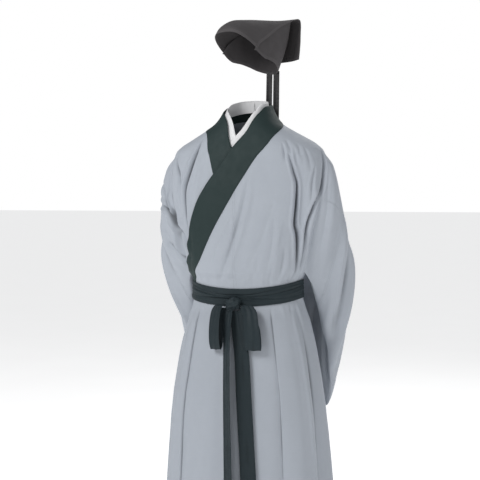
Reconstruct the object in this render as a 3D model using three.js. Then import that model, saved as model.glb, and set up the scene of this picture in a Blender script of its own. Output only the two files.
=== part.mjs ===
// A worn scholar's costume in cloth: a long cross-collared robe with wide sleeves drawn behind the back,
// its sash tied in a bow, the white under-collar that shows at the neck, and the soft cap with two ribbons.
// Millimetres, +Z up, the front faces -Y and the wearer's left is +X.
// The origin is the middle of the wearer's neck at the height where the shoulders meet it.
import * as THREE from "three";

// Driving dimensions
const WALL = 2; // cloth wall
const BAND_WALL = 3; // the collar band is a folded strip
const UNDER_WALL = 1.6; // the white under-collar
const SEAM_GAP = 0.35; // pieces stand this far apart where they are sewn
const OUTER_LIFT = 5.5; // how far the wearer's left front lies outside the right front
const HEM_Z = -1380;
const WAIST_Z = -508; // middle of the sash at the sides
const SASH_DIP = 23; // the sash hangs this much lower at the front
const SASH_HALF = 28; // half of the folded sash's width
const ARMHOLE = { middle: 92, tipZ: -98, underZ: -468 }; // middle is an angle round the body
const UPPER_END = 0.3; // where the sleeve is pieced, as a share of its run

const COLOURS = {
  robe: { color: 0xb3b6c2, roughness: 0.85 },
  band: { color: 0x2b3b3b, roughness: 0.8 },
  white: { color: 0xeeeef0, roughness: 0.85 },
  cap: { color: 0x2e2a2d, roughness: 0.85 },
};

const table = (columns, rows) => {
  const names = columns.split(" ");
  return rows.map((row) => Object.fromEntries(names.map((name, i) => [name, row[i]])));
};

// The body's sections: half width, depth before and behind the middle, at each height
const SECTIONS = table("z width front back", [
  [HEM_Z, 270, 200, 206],
  [-1230, 258, 189, 196],
  [-1086, 246, 178, 184],
  [-966, 237, 170, 174],
  [-846, 226, 160, 162],
  [-696, 204, 143, 147],
  [-606, 184, 125, 130],
  [-566, 171, 111, 115],
  [-535, 163, 107, 109],
  [-505, 160, 107, 107],
  [-476, 162, 111, 109],
  [-455, 176, 118, 115],
  [-400, 195, 119, 120],
  [-336, 212, 119, 123],
  [-280, 228, 118, 123],
  [-216, 240, 115, 119],
  [-150, 240, 105, 113],
  [-105, 228, 96, 107],
  [-85, 208, 92, 102],
  [-65, 175, 88, 97],
  [-45, 138, 84, 91],
  [-24, 102, 79, 84],
  [-5, 84, 73, 77],
  [15, 73, 67, 71],
  [38, 65, 61, 66],
  [66, 61, 58, 64],
]);
const CORNER = 0.035; // how much fuller than an ellipse a section is at its corners

// Vertical folds of the skirt: angle at the waist and at the hem, half width in degrees, height at the hem
const SKIRT_FOLDS = table("waist hem spread height", [
  [-172, -170, 11, 13],
  [-146, -148, 9, -12],
  [-126, -128, 9, 12],
  [-104, -106, 8, -13],
  [-86, -88, 8, 11],
  [-52, -52, 8, 5],
  [-38, -39, 4, -5],
  [-24, -26, 8, -4],
  [-10, -13, 8, 4],
  [14, 12, 9, 3],
  [38, 39, 4, -5],
  [54, 55, 9, 5],
  [78, 80, 8, -10],
  [93, 96, 8, 12],
  [110, 113, 9, -13],
  [131, 134, 9, 13],
  [150, 153, 9, -12],
  [166, 168, 9, 10],
]);

// Folds of the bodice: where each starts and ends, half width in degrees, height
const BODICE_FOLDS = table("phi1 z1 phi2 z2 spread height", [
  [47, -120, 57, -440, 6, -9],
  [64, -130, 68, -420, 6, 6],
  [-50, -120, -58, -430, 6, -8],
  [-66, -140, -70, -400, 6, 6],
  [-118, -150, -126, -460, 8, -8],
  [122, -150, 128, -460, 8, -8],
  [2, -250, -20, -480, 6, 4],
  [150, -200, 158, -470, 9, 4],
  [-152, -200, -160, -470, 9, 4],
]);

// The two edges of each collar band, from the middle of the back round the neck and down the front.
// seam is sewn to the robe, free is the open edge. Angles are on the wearer's own side.
const LEFT_COLLAR = table("seamPhi seamZ freePhi freeZ", [
  [180, -6, 180, 46],
  [150, -10, 150, 44],
  [122, -17, 118, 39],
  [100, -24, 90, 33],
  [76, -33, 62, 27],
  [52, -47, 41, 8],
  [34, -66, 23, -18],
  [17, -111, -1, -80],
  [5, -186, -12, -145],
  [-6, -261, -24, -213],
  [-18.4, -336, -38, -302],
  [-34.6, -420, -50, -385],
  [-54, -478, -72, -462],
  [-61, -520, -84, -520],
  [-66, -566, -88, -566],
]);
const RIGHT_COLLAR = table("seamPhi seamZ freePhi freeZ", [
  [180, -6, 180, 46],
  [150, -10, 150, 44],
  [122, -18, 120, 38],
  [98, -26, 96, 31],
  [72, -37, 74, 20],
  [46, -49, 40, 2],
  [31, -72, 17, -34],
  [22, -115, 6, -84],
  [16.8, -172, -1, -142],
  [11, -235, -8, -205],
  [4.6, -300, -16, -270],
  [-3, -365, -25, -335],
  [-11.5, -430, -34, -402],
  [-20, -492, -44, -486],
  [-24, -566, -50, -566],
]);
const UNDER_RISE = 0.17; // the under-collar shows above the band by this share of its width
const UNDER_DEPTH = 0.5; // and goes this far down inside it
const UNDER_END = 9.5; // the row of the collar table where it stops, out of sight

// The left sleeve: the line along its top, the line along its bottom, the way its outer face looks
// (0 is forward, 90 outward, 180 back), half its thickness, and how much flatter it is at the bottom
const SLEEVE = table("s topX topY topZ lowX lowY lowZ facing half taper", [
  [0, 222, 6, -98, 172, 16, -468, 4, 50, 0.1],
  [0.1, 256, 12, -142, 185, 30, -498, 14, 56, 0.2],
  [0.2, 272, 25, -205, 192, 46, -528, 24, 58, 0.3],
  [0.3, 281, 40, -275, 198, 66, -566, 34, 56, 0.35],
  [0.42, 284, 66, -350, 208, 92, -632, 55, 52, 0.45],
  [0.55, 274, 104, -408, 217, 122, -722, 82, 48, 0.5],
  [0.66, 250, 140, -440, 216, 150, -812, 112, 44, 0.55],
  [0.76, 210, 166, -454, 199, 171, -878, 138, 42, 0.6],
  [0.87, 142, 186, -464, 146, 188, -890, 160, 40, 0.6],
  [1, 50, 200, -482, 46, 200, -884, 174, 38, 0.55],
]);
const RING_STEPS = 32; // points round a sleeve
const CORNER_STEPS = 2; // of them, from the top of the armhole to its corner
const UPPER_RINGS = [0.25, 0.5, 0.76, 0.98, 1]; // shares of the run up to the sleeve's seam
const LOWER_RINGS = [0, 0.01, 0.1, 0.2, 0.3, 0.4, 0.5, 0.6, 0.7, 0.8, 0.9, 1]; // and of the run after it

// Smooth curve through a table: column `of` against column `by`
function curve(rows, by, of) {
  const sorted = [...rows].sort((a, b) => a[by] - b[by]);
  const x = sorted.map((row) => row[by]);
  const y = sorted.map((row) => row[of]);
  const rise = x.slice(1).map((_, i) => (y[i + 1] - y[i]) / (x[i + 1] - x[i]));
  const slope = x.map((_, i) => {
    if (i === 0) return rise[0];
    if (i === x.length - 1) return rise[i - 1];
    if (rise[i - 1] * rise[i] <= 0) return 0;
    return (2 * rise[i - 1] * rise[i]) / (rise[i - 1] + rise[i]);
  });
  return (at) => {
    if (at <= x[0]) return y[0];
    if (at >= x[x.length - 1]) return y[x.length - 1];
    let i = 0;
    while (x[i + 1] < at) i++;
    const h = x[i + 1] - x[i];
    const t = (at - x[i]) / h;
    const back = 1 - t;
    return (
      back * back * ((1 + 2 * t) * y[i] + h * t * slope[i]) +
      t * t * ((3 - 2 * t) * y[i + 1] - h * back * slope[i + 1])
    );
  };
}

const rad = THREE.MathUtils.degToRad;
const mix = THREE.MathUtils.lerp;
function ramp(from, to, at) {
  const t = THREE.MathUtils.clamp((at - from) / (to - from), 0, 1);
  return t * t * (3 - 2 * t);
}
const range = (count) => Array.from({ length: count + 1 }, (_, i) => i);

const widthAt = curve(SECTIONS, "z", "width");
const frontAt = curve(SECTIONS, "z", "front");
const backAt = curve(SECTIONS, "z", "back");

// Shortest turn between two angles
const turn = (a, b) => ((((a - b) % 360) + 540) % 360) - 180;
const bump = (distance, spread) => Math.exp(-((distance / spread) ** 2));

function skirtFold(phi, z) {
  const drop = ramp(-560, HEM_Z * 0.8, z);
  const along = THREE.MathUtils.clamp((z + 560) / (HEM_Z + 560), 0, 1);
  return SKIRT_FOLDS.reduce((sum, fold) => {
    const middle = mix(fold.waist, fold.hem, along);
    return sum + fold.height * (0.15 + 0.85 * drop) * bump(turn(phi, middle), fold.spread);
  }, 0);
}

function bodiceFold(phi, z) {
  return BODICE_FOLDS.reduce((sum, fold) => {
    const t = (z - fold.z1) / (fold.z2 - fold.z1);
    if (t <= 0 || t >= 1) return sum;
    const middle = mix(fold.phi1, fold.phi2, t);
    return sum + fold.height * Math.sin(Math.PI * t) * bump(turn(phi, middle), fold.spread);
  }, 0);
}

// The folds of the cloth at an angle round the body and a height
function foldAt(phi, z) {
  if (z < -566) return skirtFold(phi, z) * ramp(-566, -640, z);
  return bodiceFold(phi, z);
}

function smoothBody(phi, z) {
  const s = Math.sin(rad(phi));
  const c = Math.cos(rad(phi));
  const full = 1 + CORNER * Math.sin(rad(2 * phi)) ** 2;
  const depth = c > 0 ? frontAt(z) : backAt(z);
  return new THREE.Vector3(widthAt(z) * s * full, -depth * c * full, z);
}

function bodyNormal(phi, z) {
  const across = smoothBody(phi + 0.5, z).sub(smoothBody(phi - 0.5, z));
  const up = smoothBody(phi, z + 0.5).sub(smoothBody(phi, z - 0.5));
  return across.cross(up).normalize();
}

// A point of the worn cloth, lift millimetres outside the innermost robe layer's face
function bodyPoint(phi, z, lift = 0) {
  return smoothBody(phi, z).addScaledVector(bodyNormal(phi, z), lift + foldAt(phi, z));
}

// The same for one side of the body, where an edge on the middle plane keeps to its own side of it
function sidePoint(side, phi, z, lift) {
  const p = bodyPoint(side * phi, z, lift);
  if (phi === 0 || phi === 180) p.x = (side * SEAM_GAP) / 2;
  return p;
}

// The left front's layer comes down to the back's level behind the left arm
const leftLift = (phi) => OUTER_LIFT * (1 - ramp(100, 165, Math.abs(phi)));

// Closes a sheet of faces, given by its outer points, into a wall of cloth.
// under holds the points of the inner face where they are known.
function wallOf(points, faces, wall, outward, under = []) {
  const turned = oriented(faces);
  const facing = turned.reduce((sum, face) => {
    const middle = face.reduce((m, i) => m.add(points[i]), new THREE.Vector3()).divideScalar(face.length);
    return sum + faceNormal(points, face).dot(outward(middle));
  }, 0);
  if (facing < 0) turned.forEach((face) => face.reverse());
  const normals = points.map(() => new THREE.Vector3());
  turned.forEach((face) => face.forEach((i) => normals[i].add(faceNormal(points, face))));
  const inner = points.map((p, i) => {
    if (under[i]) return under[i];
    if (Math.abs(p.x) < SEAM_GAP) normals[i].x = 0; // seams on the middle plane stay square to it
    return p.clone().addScaledVector(normals[i].normalize(), -wall);
  });
  return closed(points, inner, turned);
}

function faceNormal(points, face) {
  const [a, b, c] = face.map((i) => points[i]);
  const d = points[face[face.length - 1]];
  return c.clone().sub(a).cross(d.clone().sub(b));
}

// Turns faces so that neighbours agree on which side is out
function oriented(faces) {
  const key = (a, b) => (a < b ? a + "," + b : b + "," + a);
  const users = new Map();
  faces.forEach((face, f) =>
    face.forEach((a, i) => {
      const k = key(a, face[(i + 1) % face.length]);
      users.set(k, [...(users.get(k) || []), f]);
    }),
  );
  const done = new Array(faces.length).fill(false);
  const result = faces.map((face) => [...face]);
  const directed = (face, a, b) => face.some((v, i) => v === a && face[(i + 1) % face.length] === b);
  const waiting = [0];
  done[0] = true;
  while (waiting.length) {
    const f = waiting.pop();
    result[f].forEach((a, i) => {
      const b = result[f][(i + 1) % result[f].length];
      users.get(key(a, b)).forEach((g) => {
        if (done[g]) return;
        if (directed(result[g], a, b)) result[g].reverse();
        done[g] = true;
        waiting.push(g);
      });
    });
  }
  return result;
}

// Outer faces, inner faces and the rim between them
function closed(outer, inner, faces) {
  const positions = [...outer, ...inner].flatMap((p) => [p.x, p.y, p.z]);
  const n = outer.length;
  const index = [];
  const edges = new Map();
  faces.forEach((face) => {
    const [a, b, c, d] = face;
    const across = outer[a].distanceTo(outer[c]) <= outer[b].distanceTo(outer[d]);
    const split = across ? [a, b, c, a, c, d] : [b, c, d, b, d, a];
    for (let i = 0; i < 6; i += 3) {
      index.push(split[i], split[i + 1], split[i + 2]);
      index.push(n + split[i], n + split[i + 2], n + split[i + 1]);
    }
    face.forEach((from, i) => {
      const to = face[(i + 1) % face.length];
      edges.set(from + "," + to, [from, to]);
    });
  });
  edges.forEach(([a, b]) => {
    if (edges.has(b + "," + a)) return;
    index.push(b, a, n + a, b, n + a, n + b);
  });
  const geometry = new THREE.BufferGeometry();
  geometry.setAttribute("position", new THREE.Float32BufferAttribute(positions, 3));
  geometry.setIndex(index);
  return geometry;
}

// Faces of a grid of rows and columns, less the cells that skip() names
function gridFaces(rows, columns, skip = () => false) {
  const faces = [];
  for (let i = 0; i < rows; i++)
    for (let j = 0; j < columns; j++)
      if (!skip(i, j)) {
        const a = i * (columns + 1) + j;
        faces.push([a, a + 1, a + columns + 2, a + columns + 1]);
      }
  return faces;
}

const awayFromAxis = (p) => new THREE.Vector3(p.x, p.y, 0);

// Points along a collar band: t is a row of its table, v runs from the seam to the free edge
function collarLine(rows) {
  const numbered = rows.map((row, t) => ({ ...row, t }));
  const line = Object.fromEntries(
    ["seamPhi", "seamZ", "freePhi", "freeZ"].map((name) => [name, curve(numbered, "t", name)]),
  );
  const last = rows.length - 1;
  const find = (of, value) => {
    let low = 0;
    let high = last;
    for (let i = 0; i < 40; i++) {
      const middle = (low + high) / 2;
      if (of(middle) > value) low = middle;
      else high = middle;
    }
    return (low + high) / 2;
  };
  return {
    last,
    at: (t, v) => [mix(line.seamPhi(t), line.freePhi(t), v), mix(line.seamZ(t), line.freeZ(t), v)],
    tAtPhi: (phi) => find(line.seamPhi, phi),
    tAtZ: (z) => find(line.seamZ, z),
    seamPhi: line.seamPhi,
    seamZ: line.seamZ,
  };
}

const leftCollar = collarLine(LEFT_COLLAR);
const rightCollar = collarLine(RIGHT_COLLAR);

// Columns of a body half: back, armhole, front
const BACK_COLUMNS = 8;
const HOLE_COLUMNS = 2 * CORNER_STEPS;
const FRONT_COLUMNS = 10;
const BODY_COLUMNS = BACK_COLUMNS + HOLE_COLUMNS + FRONT_COLUMNS;

const LOW_ROWS = [
  HEM_Z, -1270, -1160, -1050, -940, -840, -750, -670, -615, -580, -556, -530, -506, -490, -478,
];
const BASE_Z = LOW_ROWS[LOW_ROWS.length - 1];
const SHOULDER_Z = -28;
const HOLE_ROWS = range(RING_STEPS / 2 - 2 * CORNER_STEPS).map((k) => {
  const angle = Math.PI - ((k + CORNER_STEPS) * 2 * Math.PI) / RING_STEPS;
  return mix(ARMHOLE.tipZ, ARMHOLE.underZ, (1 - Math.cos(angle)) / 2);
});
const TOP_ROWS = [-92, -74, -58, -43, SHOULDER_Z];
const ROWS = [...LOW_ROWS, ...HOLE_ROWS, ...TOP_ROWS];
const FIRST_HOLE_ROW = LOW_ROWS.length;
const LAST_HOLE_ROW = FIRST_HOLE_ROW + HOLE_ROWS.length - 1;

// Half the armhole's width in degrees at a row's height
const HOLE_HALF = table("z half", [
  [HEM_Z, 14],
  [-640, 14],
  [-540, 11],
  [-456, 8.5],
  [-380, 15],
  [-300, 20],
  [-220, 20],
  [-150, 14],
  [-111, 8.5],
  [-70, 9],
  [-28, 10],
]);
const holeHalf = curve(HOLE_HALF, "z", "half");

function columnPhi(j, z) {
  const half = holeHalf(z);
  if (j <= BACK_COLUMNS) return mix(180, ARMHOLE.middle + half, j / BACK_COLUMNS);
  if (j <= BACK_COLUMNS + HOLE_COLUMNS)
    return ARMHOLE.middle + half - (2 * half * (j - BACK_COLUMNS)) / HOLE_COLUMNS;
  return mix(ARMHOLE.middle - half, 0, (j - BACK_COLUMNS - HOLE_COLUMNS) / FRONT_COLUMNS);
}

// Where a row and a column of a body half cross: angle and height
function bodyCrossing(collar, i, j) {
  const phi = columnPhi(j, ROWS[i]);
  if (ROWS[i] <= BASE_Z) return [phi, ROWS[i]];
  const top = collar.seamZ(collar.tAtPhi(columnPhi(j, SHOULDER_Z)));
  return [phi, mix(BASE_Z, top, (ROWS[i] - BASE_Z) / (SHOULDER_Z - BASE_Z))];
}

// Points of a ring of the sleeve. angle 0 is its top, 90 its outer face
const sleeveCurves = Object.fromEntries(
  Object.keys(SLEEVE[0]).map((name) => [name, curve(SLEEVE, "s", name)]),
);
function sleeveRing(s, angle) {
  const of = (name) => sleeveCurves[name](s);
  const top = new THREE.Vector3(of("topX"), of("topY"), of("topZ"));
  const low = new THREE.Vector3(of("lowX"), of("lowY"), of("lowZ"));
  const down = (1 - Math.cos(angle)) / 2;
  const facing = rad(of("facing"));
  const face = new THREE.Vector3(Math.sin(facing), -Math.cos(facing), 0);
  const thick = of("half") * Math.sin(angle) * (1 - of("taper") * down);
  return top.lerp(low, down).addScaledVector(face, thick);
}
const mirrored = (p, side) => new THREE.Vector3(p.x * side, p.y, p.z);
const ringAngle = (k) => (k * 2 * Math.PI) / RING_STEPS;

// One half of the robe in one cut: front, back and upper sleeve, with no seam on the shoulder
function bodyHalf(side, collar, lift) {
  const points = [];
  const under = [];
  for (let i = 0; i < ROWS.length; i++)
    for (let j = 0; j <= BODY_COLUMNS; j++) {
      const [phi, z] = bodyCrossing(collar, i, j);
      points.push(sidePoint(side, phi, z, lift(phi)));
      under.push(sidePoint(side, phi, z, lift(phi) - WALL));
    }
  const firstHole = BACK_COLUMNS;
  const lastHole = BACK_COLUMNS + HOLE_COLUMNS;
  const inHole = (i, j) =>
    i >= FIRST_HOLE_ROW && i < LAST_HOLE_ROW && j >= firstHole && j < lastHole;
  const faces = gridFaces(ROWS.length - 1, BODY_COLUMNS, inHole);
  const at = (i, j) => i * (BODY_COLUMNS + 1) + j;
  // round the armhole from the middle of its top, down its front and up its back
  const middleColumn = BACK_COLUMNS + CORNER_STEPS;
  const loop = range(RING_STEPS - 1).map((k) => {
    if (k <= CORNER_STEPS) return at(LAST_HOLE_ROW, middleColumn + k);
    if (k < RING_STEPS / 2 - CORNER_STEPS) return at(LAST_HOLE_ROW - (k - CORNER_STEPS), lastHole);
    if (k <= RING_STEPS / 2 + CORNER_STEPS)
      return at(FIRST_HOLE_ROW, lastHole - (k - (RING_STEPS / 2 - CORNER_STEPS)));
    if (k < RING_STEPS - CORNER_STEPS)
      return at(FIRST_HOLE_ROW + (k - (RING_STEPS / 2 + CORNER_STEPS)), firstHole);
    return at(LAST_HOLE_ROW, firstHole + (k - (RING_STEPS - CORNER_STEPS)));
  });
  loop.forEach((corner) => {
    under[corner] = null;
  });
  const away = loop.map((at0, k) => points[at0].clone().sub(mirrored(sleeveRing(0, ringAngle(k)), side)));
  let previous = loop;
  UPPER_RINGS.forEach((share) => {
    const s = UPPER_END * share;
    const fade = (1 - share) ** 2;
    const ring = away.map((gap, k) => {
      points.push(mirrored(sleeveRing(s, ringAngle(k)), side).addScaledVector(gap, fade));
      return points.length - 1;
    });
    ring.forEach((now, k) => {
      const next = (k + 1) % RING_STEPS;
      faces.push([previous[k], previous[next], ring[next], now]);
    });
    previous = ring;
  });
  return wallOf(points, faces, WALL, awayFromAxis, under);
}

// The pieced part of a sleeve, from its seam to its open cuff
function lowerSleeve(side) {
  const rings = LOWER_RINGS.length - 1;
  const start = UPPER_END + 0.0026; // leaves the seam gap
  const points = [];
  for (let r = 0; r <= rings; r++)
    for (let k = 0; k < RING_STEPS; k++)
      points.push(mirrored(sleeveRing(mix(start, 1, LOWER_RINGS[r]), ringAngle(k)), side));
  const faces = [];
  for (let r = 0; r < rings; r++)
    for (let k = 0; k < RING_STEPS; k++) {
      const next = (k + 1) % RING_STEPS;
      const low = r * RING_STEPS;
      faces.push([low + k, low + next, low + RING_STEPS + next, low + RING_STEPS + k]);
    }
  const outward = (p) => {
    const nearest = SLEEVE.reduce((best, row) => {
      const middle = new THREE.Vector3(
        (side * (row.topX + row.lowX)) / 2,
        (row.topY + row.lowY) / 2,
        (row.topZ + row.lowZ) / 2,
      );
      return !best || middle.distanceTo(p) < best.distanceTo(p) ? middle : best;
    }, null);
    return p.clone().sub(nearest);
  };
  return wallOf(points, faces, WALL, outward);
}

// The piece sewn along the middle of the front, which crosses the chest: a long trapezium.
// Its angles run from the front seam to the far side, so they are negative.
const SKIRT_COLUMN = (ARMHOLE.middle - 14) / FRONT_COLUMNS;
function overlapPiece(side, collar, columns, tipRows, lift) {
  const edge = (z) => {
    const onCollar = collar.seamPhi(collar.tAtZ(Math.max(z, COLLAR_END)));
    return mix(onCollar, -columns * SKIRT_COLUMN, ramp(COLLAR_END, -640, z));
  };
  const rows = [...LOW_ROWS, ...tipRows];
  const layer = (above) =>
    rows.flatMap((z) =>
      range(columns).map((j) => {
        const p = bodyPoint(side * edge(z) * (j / columns), z, above);
        if (j === 0) p.x = (-side * SEAM_GAP) / 2;
        return p;
      }),
    );
  const faces = gridFaces(rows.length - 1, columns);
  return wallOf(layer(lift), faces, WALL, awayFromAxis, layer(lift - WALL));
}

// A strip along a collar, between two shares of its width (0 at the seam, 1 at the free edge)
function collarStrip(side, collar, stations, near, far, lift, wall) {
  const across = 3;
  const layer = (below) =>
    stations.flatMap((t) =>
      range(across).map((k) => {
        const [phi, z] = collar.at(t, mix(near, far, k / across));
        return sidePoint(side, phi, z, lift(phi) - below);
      }),
    );
  return wallOf(layer(0), gridFaces(stations.length - 1, across), wall, awayFromAxis, layer(wall));
}

// Stations along a collar that meet the corners of the pieces it is sewn to
function collarStations(collar, tipRows, end) {
  const round = range(BODY_COLUMNS).map((j) => collar.tAtPhi(columnPhi(j, SHOULDER_Z)));
  const down = [...LOW_ROWS.filter((z) => z >= COLLAR_END), ...tipRows].map(collar.tAtZ);
  return [0, ...round.slice(1), ...down].sort((a, b) => a - b).filter((t) => t <= end);
}

const COLLAR_END = -530; // under the sash
const LEFT_TIP_ROWS = [-462, -445, -425, -395, -365, -335, -305, -280, -258, -240, -230];
const RIGHT_TIP_ROWS = [-462, -445, -428, -406, -384, -364, -350];

// The sash: one wrap round the waist, lying on whatever is outermost there
function sashLift(phi) {
  const left = OUTER_LIFT * (1 - ramp(100, 165, phi));
  const right = OUTER_LIFT * (1 - ramp(94, 114, -phi));
  return (phi >= 0 ? left : right) + 1.7 + WALL;
}
function sashMiddle(phi) {
  return WAIST_Z - SASH_DIP * Math.max(0, Math.cos(rad(phi))) ** 1.5;
}
function sashWrap() {
  const columns = 48;
  const across = 4;
  const points = range(across).flatMap((i) =>
    range(columns).map((j) => {
      const phi = mix(-180, 180, j / columns);
      const v = i / across - 0.5;
      const z = sashMiddle(phi) + 2 * v * SASH_HALF;
      const out = sashLift(phi) + 1.5 * Math.cos(Math.PI * v);
      const p = smoothBody(phi, z).addScaledVector(bodyNormal(phi, z), out);
      if (j === 0 || j === columns) p.x = (Math.sign(phi) * SEAM_GAP) / 2;
      return p;
    }),
  );
  return wallOf(points, gridFaces(across, columns), WALL, awayFromAxis);
}

// A strip of the sash in front of the skirt. x and z give its middle, lean turns its width away from the
// cloth behind it, and lift is how far its middle stands from the innermost robe layer.
const STRIP_COLUMNS = "x z width lean lift";
function sashStrip(rows, steps, outward) {
  const numbered = rows.map((row, t) => ({ ...row, t }));
  const [x, z, width, lean, lift] = STRIP_COLUMNS.split(" ").map((name) => curve(numbered, "t", name));
  const across = 2;
  const points = range(steps).flatMap((i) => {
    const t = (i / steps) * (rows.length - 1);
    const phi = THREE.MathUtils.radToDeg(Math.asin(x(t) / widthAt(z(t))));
    const normal = bodyNormal(phi, z(t));
    const sideways = new THREE.Vector3(-normal.y, normal.x, 0).normalize();
    const middle = smoothBody(phi, z(t)).addScaledVector(normal, lift(t));
    return range(across).map((k) => {
      const half = width(t) * (k / across - 0.5);
      const out = middle.clone().addScaledVector(sideways, half * Math.cos(rad(lean(t))));
      return out.addScaledVector(normal, half * Math.sin(rad(lean(t))));
    });
  });
  return wallOf(points, gridFaces(steps, across), WALL, outward);
}

const LEFT_TAIL = table(STRIP_COLUMNS, [
  [9, -576.9, 22, 0, 17],
  [16, -605, 34, 0, 14],
  [26, -650, 40, 2, 14],
  [35, -696, 42, 3, 15],
  [46, -820, 44, 4, 15],
  [57, -950, 44, 3, 15],
  [66, -1086, 45, 2, 15],
  [71, -1215, 46, 0, 15],
]);
const RIGHT_TAIL = table(STRIP_COLUMNS, [
  [-11, -577.4, 18, 10, 22],
  [-9, -605, 28, 26, 26],
  [-7, -650, 38, 40, 29],
  [-4, -696, 42, 46, 31],
  [1, -820, 44, 46, 31],
  [7, -950, 44, 44, 31],
  [12, -1086, 45, 42, 31],
  [14, -1170, 46, 38, 30],
]);
// Each loop goes out from the knot, down, round its end and back up behind
const LEFT_LOOP = table(STRIP_COLUMNS, [
  [28.25, -554, 20, 0, 22],
  [41, -558, 32, 0, 32],
  [52, -585, 40, 0, 38],
  [60, -625, 44, 0, 39],
  [65, -662, 46, 0, 36],
  [66, -682, 46, 0, 27],
  [65, -668, 46, 0, 17],
  [60, -625, 42, 0, 15],
  [50, -594, 32, 0, 16],
  [33, -576, 20, 0, 18],
]);
const RIGHT_LOOP = table(STRIP_COLUMNS, [
  [-27.3, -554, 18, 0, 22],
  [-37, -559, 26, 6, 32],
  [-41, -588, 34, 14, 40],
  [-40, -630, 38, 18, 42],
  [-38, -664, 38, 18, 39],
  [-36, -682, 38, 18, 30],
  [-36, -668, 36, 16, 20],
  [-38, -630, 34, 10, 16],
  [-37, -595, 26, 4, 15],
  [-30, -578, 16, 0, 18],
]);

function knot() {
  const geometry = new THREE.SphereGeometry(1, 16, 10);
  const place = geometry.getAttribute("position");
  for (let i = 0; i < place.count; i++) {
    const p = new THREE.Vector3().fromBufferAttribute(place, i);
    const wrap = 1 + 0.05 * Math.cos(5 * p.x);
    place.setXYZ(i, 20 * p.x * wrap, -131.3 + 12 * p.y * wrap, -552 + 19 * p.z);
  }
  return geometry;
}

// The cap. Its own frame has the middle of the head at its origin, its front facing -Y
const CAP = { x: -12, y: 8, turn: -30, width: 80, back: 114 };
const fromCap = (x, y, z) =>
  new THREE.Vector3(x, y, z)
    .applyAxisAngle(new THREE.Vector3(0, 0, 1), rad(CAP.turn))
    .add(new THREE.Vector3(CAP.x, CAP.y, 0));

// The cover runs from the forehead over the head to a straight edge and hangs down behind as a square flap.
// Each row: its middle, its right and left corners, how round it is in degrees, and how its sides fall away
const COVER = table("v midY midZ sideX sideY sideZ round fall", [
  [0, -84, 250, 80, -20, 200, 80, 1.5],
  [1, -80, 263, 80, -14, 208, 80, 1.3],
  [2, -63, 278, 80.5, -5, 217, 80, 1.1],
  [3, -38, 289, 81, 14, 230, 78, 1],
  [4, 0, 292, 82, 38, 247, 66, 1],
  [5, 45, 294, 84, 72, 271, 40, 1],
  [6, 95, 297, 85, 110, 289, 20, 1],
  [7, 132, 299, 86, 136, 298, 10, 1],
  [8, 145, 294, 86, 146, 293, 10, 1],
  [9, 149, 270, 86, 149, 272, 10, 1],
  [10, 149, 235, 86, 149, 236, 10, 1],
  [11, 147, 205, 86, 147, 207, 10, 1],
  [12, 143, 173, 85, 144, 177, 10, 1],
]);
const cover = Object.fromEntries(Object.keys(COVER[0]).map((name) => [name, curve(COVER, "v", name)]));
function capCover() {
  const across = 14;
  const steps = 21;
  const points = range(steps).flatMap((i) => {
    const v = (i / steps) * (COVER.length - 1);
    const round = rad(cover.round(v));
    return range(across).map((k) => {
      const u = (2 * k) / across - 1;
      const away = ((1 - Math.cos(round * u)) / (1 - Math.cos(round))) ** cover.fall(v);
      return fromCap(
        (cover.sideX(v) * Math.sin(round * u)) / Math.sin(round),
        mix(cover.midY(v), cover.sideY(v), away),
        mix(cover.midZ(v), cover.sideZ(v), away),
      );
    });
  });
  const inside = fromCap(0, 20, 180);
  return wallOf(points, gridFaces(steps, across), WALL, (p) => p.clone().sub(inside));
}

// The back of the cap: from its lower edge behind the ears and round the nape up into the cover
const CAP_BACK = table("angle rimZ topX topY topZ", [
  [78, 195, 72.5, -8, 217],
  [88, 182, 73.5, 12, 232],
  [98, 172, 74.5, 36, 248],
  [112, 168, 76, 66, 267],
  [126, 160, 76, 96, 282],
  [142, 148, 68, 122, 290],
  [160, 140, 40, 127, 295.7],
  [180, 136, 0, 128, 296],
]);
function capBack() {
  const around = 20;
  const up = 5;
  const names = ["rimZ", "topX", "topY", "topZ"];
  const [rimZ, topX, topY, topZ] = names.map((name) => curve(CAP_BACK, "angle", name));
  const points = range(up).flatMap((i) =>
    range(around).map((k) => {
      const angle = mix(78, 282, k / around);
      const near = Math.min(angle, 360 - angle);
      const side = angle <= 180 ? 1 : -1;
      const depth = Math.cos(rad(near)) < 0 ? CAP.back : 100;
      const v = i / up;
      const bulge = Math.sin(Math.PI * v) * ramp(100, 150, near);
      return fromCap(
        side * mix(CAP.width * 0.97 * Math.sin(rad(near)), topX(near), v),
        mix(-depth * Math.cos(rad(near)), topY(near), v) + 10 * bulge,
        mix(rimZ(near), topZ(near), v),
      );
    }),
  );
  const inside = fromCap(0, 10, 200);
  return wallOf(points, gridFaces(up, around), WALL, (p) => p.clone().sub(inside));
}

// A ribbon hangs straight down from the nape until it meets the robe's back, then lies on it
const RIBBON = { width: 19, wall: 1.4, top: 136.9, end: -320 };
function capRibbon(x, napeY, sway) {
  const steps = 20;
  const across = 2;
  const points = range(steps).flatMap((i) => {
    const t = i / steps;
    const z = mix(RIBBON.top, RIBBON.end, t);
    return range(across).map((k) => {
      const at = x + sway * Math.sin(Math.PI * t) + RIBBON.width * (k / across - 0.5);
      if (z > -40) return new THREE.Vector3(at, napeY, z);
      const phi = 180 - THREE.MathUtils.radToDeg(Math.asin(at / widthAt(z)));
      const back = bodyPoint(phi, z, leftLift(phi) + RIBBON.wall + 0.8).y;
      return new THREE.Vector3(at, z > -180 ? Math.max(back, napeY) : back, z);
    });
  });
  return wallOf(points, gridFaces(steps, across), RIBBON.wall, () => new THREE.Vector3(0, 1, 0));
}

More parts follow.
